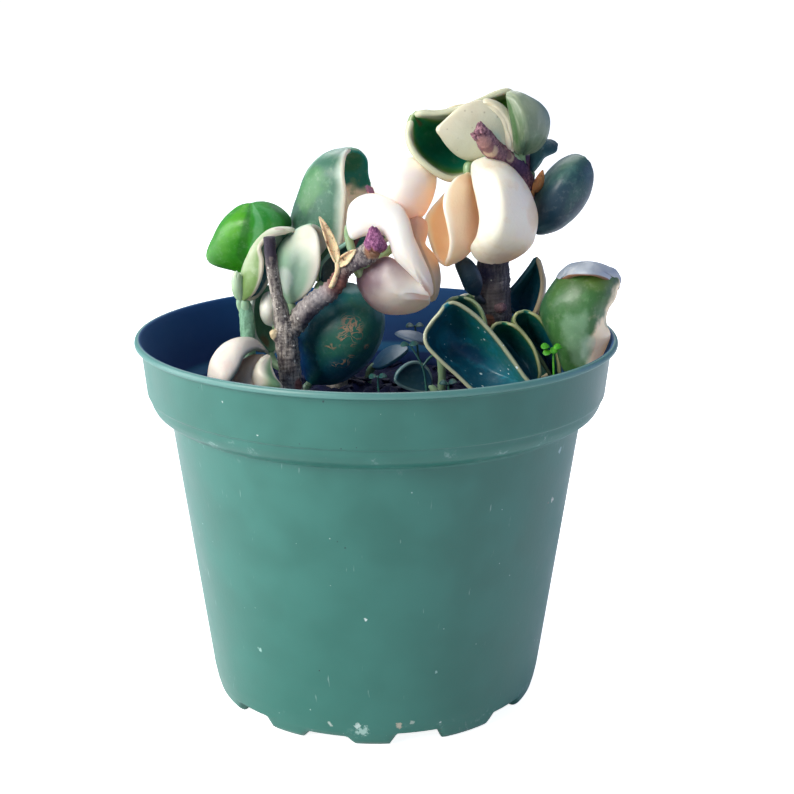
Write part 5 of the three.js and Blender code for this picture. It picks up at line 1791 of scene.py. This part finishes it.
def stalk_line(leaf, radius):
    """The stalk's line and radius: it swings out ahead of its root and runs into the midrib."""
    root = np.array(leaf["root"], float)
    base, just_ahead = blade_middle(leaf, np.array([0, 0.03]), np.zeros(2)) / MM
    reach = np.linalg.norm(base - root)
    ahead = unit(just_ahead - base)
    bend = base - ahead * BLADE["stalk_bend"] * reach
    shares = np.linspace(0, 1, 5)[:, None]
    line = root * (1 - shares) ** 2 + bend * 2 * shares * (1 - shares) + base * shares**2
    line = np.vstack([line, base + ahead * 0.9, base + ahead * 1.9])
    return line, [radius * 1.15, radius, radius, radius, radius * 0.95, radius * 0.8, radius * 0.3]


def make_leaf(name, leaf, look, seed):
    """A leaf with its stalk, and each of its flaps as a piece of its own."""
    bm = bmesh.new()
    layer = bm.verts.layers.float_vector.new("leaf_place")
    blade(bm, leaf, seed)
    line, radii = stalk_line(leaf, BLADE["stalk_radius"])
    limb(bm, line, radii, sides=14, per_mm=1.6, rough=0.12, seed=seed, values={layer: (-0.2, 0, 0)})
    bmesh.ops.recalc_face_normals(bm, faces=bm.faces)
    keep(name + "_blade", bm, [name], leaf_material(name + "_skin", look, seed))
    for flap in leaf.get("flaps", []):
        bm = bmesh.new()
        bm.verts.layers.float_vector.new("leaf_place")
        flap_seed = seed + 40
        blade(bm, flap, flap_seed)
        bmesh.ops.recalc_face_normals(bm, faces=bm.faces)
        skin = leaf_material(flap["look"] + "_skin", LOOKS[flap["look"]], flap_seed)
        keep(flap["look"] + "_fold", bm, [name], skin)


def make_stem(name, runs, material):
    """A stem of one or more limbs, with its buds. Its age layer goes from 0, old bark, to 1 at a tip."""
    bm = bmesh.new()
    age = bm.verts.layers.float.new("age")
    for k, run in enumerate(runs):
        tip = run.get("tip_colour", 1)

        def youth(share, tip=tip):
            """How far the run has the colour of its tip at a share of its length."""
            return 1.0 if tip < 0 else max(0.0, (share - tip) * 3)

        limb(
            bm, run["at"], run["radius"], sides=28, per_mm=2.4, rough=0.1, rings=run["rings"], seed=k * 3,
            values={age: youth},
        )
    for foot, way, length, radius, scales in BUDS.get(name, []):
        bud(bm, foot, way, length, radius, scales, age)
    bmesh.ops.recalc_face_normals(bm, faces=bm.faces)
    keep(name + "_bark", bm, [name], material)


BUDS = {  # the foot of each bud, the way it points, its length, its radius and its scales
    "stem_left": [((-0.3, -8.3, 146.8), (-0.1, 0, 1), 6.4, 3.9, 26)],
    "stem_right": [
        ((31.9, -6.2, 181.5), (-0.25, -0.2, 0.9), 3.2, 2.3, 14),
        ((30.6, -5.6, 179.7), (-0.85, -0.3, 0.5), 2.6, 1.4, 8),
    ],
    "shoot_tip": [((-1, 6, 159.8), (-0.55, 0, 0.75), 3.6, 1.2, 8)],
}


BRACT_THICKNESS = 0.8
BRACT_STALK_RADIUS = 0.8


def make_bract(name, from_point, lobes, material):
    """A dry bract: thin lobes on one stalk that starts at a point on its stem."""
    bm = bmesh.new()
    layer = bm.verts.layers.float_vector.new("leaf_place")
    for k, lobe in enumerate(lobes):
        blade(bm, {**lobe, "thickness": BRACT_THICKNESS}, 60 + k)
    line, radii = stalk_line({**lobes[0], "root": from_point}, BRACT_STALK_RADIUS)
    limb(bm, line, radii, sides=10, per_mm=1.6, rough=0.2, seed=7, values={layer: (-0.2, 0, 0)})
    bmesh.ops.recalc_face_normals(bm, faces=bm.faces)
    keep(name + "_husk", bm, [name], material)


BRACTS = {
    "bract_left": ((-14, -6.2, 133.4), [
        {
            "outline": "oval", "base": (-11.9, -6.5, 140.8), "tip": (-17.5, -4.5, 155.3),
            "back": (-13.9, -4.2, 147.6), "left": (-1.2, -1.6, -0.6), "right": (1.4, -1.6, 0.4),
        },
        {
            "outline": "oval", "base": (-11.9, -6.5, 140.8), "tip": (-6.1, -9, 145.8),
            "back": (-9.3, -6.8, 142.8), "left": (-0.6, -1.2, 1.3), "right": (0.5, -1.6, -1.5),
        },
    ]),
    "bract_right": ((48.5, 12.5, 158), [
        {
            "outline": "oval", "base": (49.5, 9, 161), "tip": (52, 5, 168.5),
            "back": (51, 7, 164.5), "left": (-1.2, -0.5, 1), "right": (1.5, 1, -1),
        },
    ]),
}


def make_studio():
    """A pale floor, a white room, a soft key light from the upper left, three weak lights, the camera."""
    bm = bmesh.new()
    bmesh.ops.create_grid(bm, x_segments=1, y_segments=1, size=40)
    mesh = bpy.data.meshes.new("floor")
    bm.to_mesh(mesh)
    bm.free()
    material, tree, skin = new_material("pale_floor")
    skin.inputs["Base Color"].default_value = (0.9, 0.9, 0.9, 1)
    skin.inputs["Roughness"].default_value = 0.9
    skin.inputs["Emission Color"].default_value = (1, 1, 1, 1)
    seen = add(tree, "ShaderNodeLightPath").outputs["Is Camera Ray"]
    shine = maths(tree, "ADD", maths(tree, "MULTIPLY", seen, 0.8), 0.1)
    tree.links.new(shine, skin.inputs["Emission Strength"])
    mesh.materials.append(material)
    floor = bpy.data.objects.new("floor", mesh)
    bpy.context.collection.objects.link(floor)

    world = bpy.data.worlds.new("studio")
    world.use_nodes = True
    bpy.context.scene.world = world
    tree = world.node_tree
    room = tree.nodes["Background"]
    seen = add(tree, "ShaderNodeLightPath").outputs["Is Camera Ray"]
    tree.links.new(blend(tree, seen, [0.5, 0.68, 1.0, 1], [1, 1, 1, 1]), room.inputs["Color"])
    strength = maths(tree, "ADD", maths(tree, "MULTIPLY", seen, 0.75), 0.38)
    tree.links.new(strength, room.inputs["Strength"])

    for name, place, size, power, colour in (
        ("key", (-1.6, -1.25, 1.3), 1.3, 61.0, (1.0, 0.98, 0.93)),
        ("left_edge", (-0.75, 0.05, 0.3), 0.5, 3.5, (0.95, 0.97, 1.0)),
        ("right_edge", (0.7, 0.15, 0.25), 0.45, 0.6, (0.4, 0.45, 1.0)),
        ("back", (0.0, 0.6, 0.7), 0.6, 3.0, (1.0, 1.0, 1.0)),
    ):
        light = bpy.data.lights.new(name, "AREA")
        light.energy, light.size, light.color = power, size, colour
        lamp = bpy.data.objects.new(name, light)
        lamp.location = place
        lamp.rotation_euler = (Vector((0, 0, 0.12)) - Vector(place)).to_track_quat("-Z", "Y").to_euler()
        bpy.context.collection.objects.link(lamp)

    scene = bpy.context.scene
    scene.view_settings.view_transform = "Standard"
    camera_data = bpy.data.cameras.new("camera")
    camera_data.sensor_width = SENSOR
    camera_data.lens = FOCAL_PIXELS * SENSOR / PHOTO_SIZE
    camera_data.shift_x = (PHOTO_SIZE / 2 - POT_AXIS_PIXEL) / PHOTO_SIZE
    camera = bpy.data.objects.new("camera", camera_data)
    camera.location = Vector(CAMERA_PLACE) * MM
    camera.rotation_euler = (math.radians(90 - CAMERA_PITCH), 0, 0)
    bpy.context.collection.objects.link(camera)
    scene.camera = camera


# ---------- the scene ----------

for make_group in (leaf_zones_group, leaf_patch_group, streaks_group, mottle_group, dots_group):
    make_group()
make_studio()
make_pot()
make_soil()

bark = bark_material(
    "grey_bark", "5a524e", "bdb2a6", ("6a2a58", "b8749c"), 0.5, dirty=0.5,
    stains_and_painted_light=[
        (-11.8, -5, 134.6, 5, "7a3c34", 0.85),
        # a painted highlight on the red-brown patch
        (-11.2, -6, 134.5, 1.6, "b87a68", 0.6),
        (-33.4, -4, 145.7, 5.5, "22142e", 0.95),
        (-32.5, -5, 142.1, 0.8, "8a7a70", 0.5),
        # the next two are a painted highlight along the top of the branch
        (-16.9, -4, 130.3, 4, "a8a0a4", 0.5),
        (-21.9, -3, 125.9, 4, "a49a9a", 0.45),
        # painted shade under the branch
        (-20.1, -3, 123, 3, "3a2440", 0.7),
        (-32.8, -2, 117.7, 1.9, "dcc69c", 0.95),
        (-23.5, -3, 101.3, 2.4, "8a4a42", 0.85),
        (-1.2, -9, 145.3, 2.6, "b07a52", 0.8),
        (2.2, -8, 144.5, 1.6, "9a6038", 0.8),
        (-5.5, -8, 141.7, 3.5, "6a5a66", 0.5),
    ],
)
brown_bark = bark_material(
    "brown_bark", "34303a", "646064", ("5c3444", "b08088"), 0.05, dirty=0.4,
    stains_and_painted_light=[
        (36.1, 10, 119.2, 2.2, "a86a50", 0.85),
        # a painted shadow cast by the pale egg-shaped leaf above
        (32.6, 9, 134.4, 4.2, "10124a", 0.9),
        (37.8, 9, 126.3, 5, "6e625e", 0.5),
        (31.1, 10, 129.4, 3, "6a4e58", 0.7),
        (35, -3, 174.9, 2.4, "c8ac90", 0.9),
        (33.8, -4.5, 176.3, 2.3, "84585a", 0.95),
        (32.7, -6, 178.2, 2.4, "b0827a", 0.7),
        (42.5, 2, 172.5, 2.1, "c8b090", 0.9),
        (41.8, 2, 173.1, 1.5, "8a6062", 0.9),
        (44.7, 7, 168.8, 4, "3e2250", 0.85),
        (46.4, 10, 173.4, 4, "46305e", 0.85),
        (39, 0, 173.9, 2.6, "7a5a60", 0.5),
    ],
)
young = bark_material("young_skin", "6c9a7a", "86b494", ("8fbf98", "a9c8a4"), 0.0, dirty=0.0)
purple = bark_material("purple_skin", "5a3552", "7a4a60", ("6a2c54", "d8a07c"), 0.0, dirty=0.2)
BARKS = {"stem_left": bark, "stem_right": brown_bark, "stem_young": young, "shoot_tip": purple}
for stem_name, runs in STEMS.items():
    make_stem(stem_name, runs, BARKS.get(stem_name, bark))

for count, (leaf_name, leaf) in enumerate(LEAVES.items()):
    look = LOOKS.get(leaf_name) or BACK_LOOKS[count % len(BACK_LOOKS)]
    make_leaf(leaf_name, leaf, look, count + 1)

papery = plain_skin("papery_husk", "e6cca2", "6a4228", 640.0, 0.8, 0.9, 0.3)
sheath = plain_skin("dry_sheath", "b07848", "6a4028", 420.0, 0.75, 0.7, 0.2)
for bract_name, (from_point, lobes) in BRACTS.items():
    make_bract(bract_name, from_point, lobes, papery if bract_name == "bract_left" else sheath)

bright = plain_skin("sunlit_weed", "3f9414", "5cb02c", 300.0, 0.5, 0.2, 0.2)
dim = plain_skin("shaded_weed", "1c4a48", "2f6450", 300.0, 0.5, 0.2, 0.2)
for weed_name, weed in WEEDS.items():
    make_weed(weed_name, weed, bright if weed_name == "weed_trefoil" else dim)
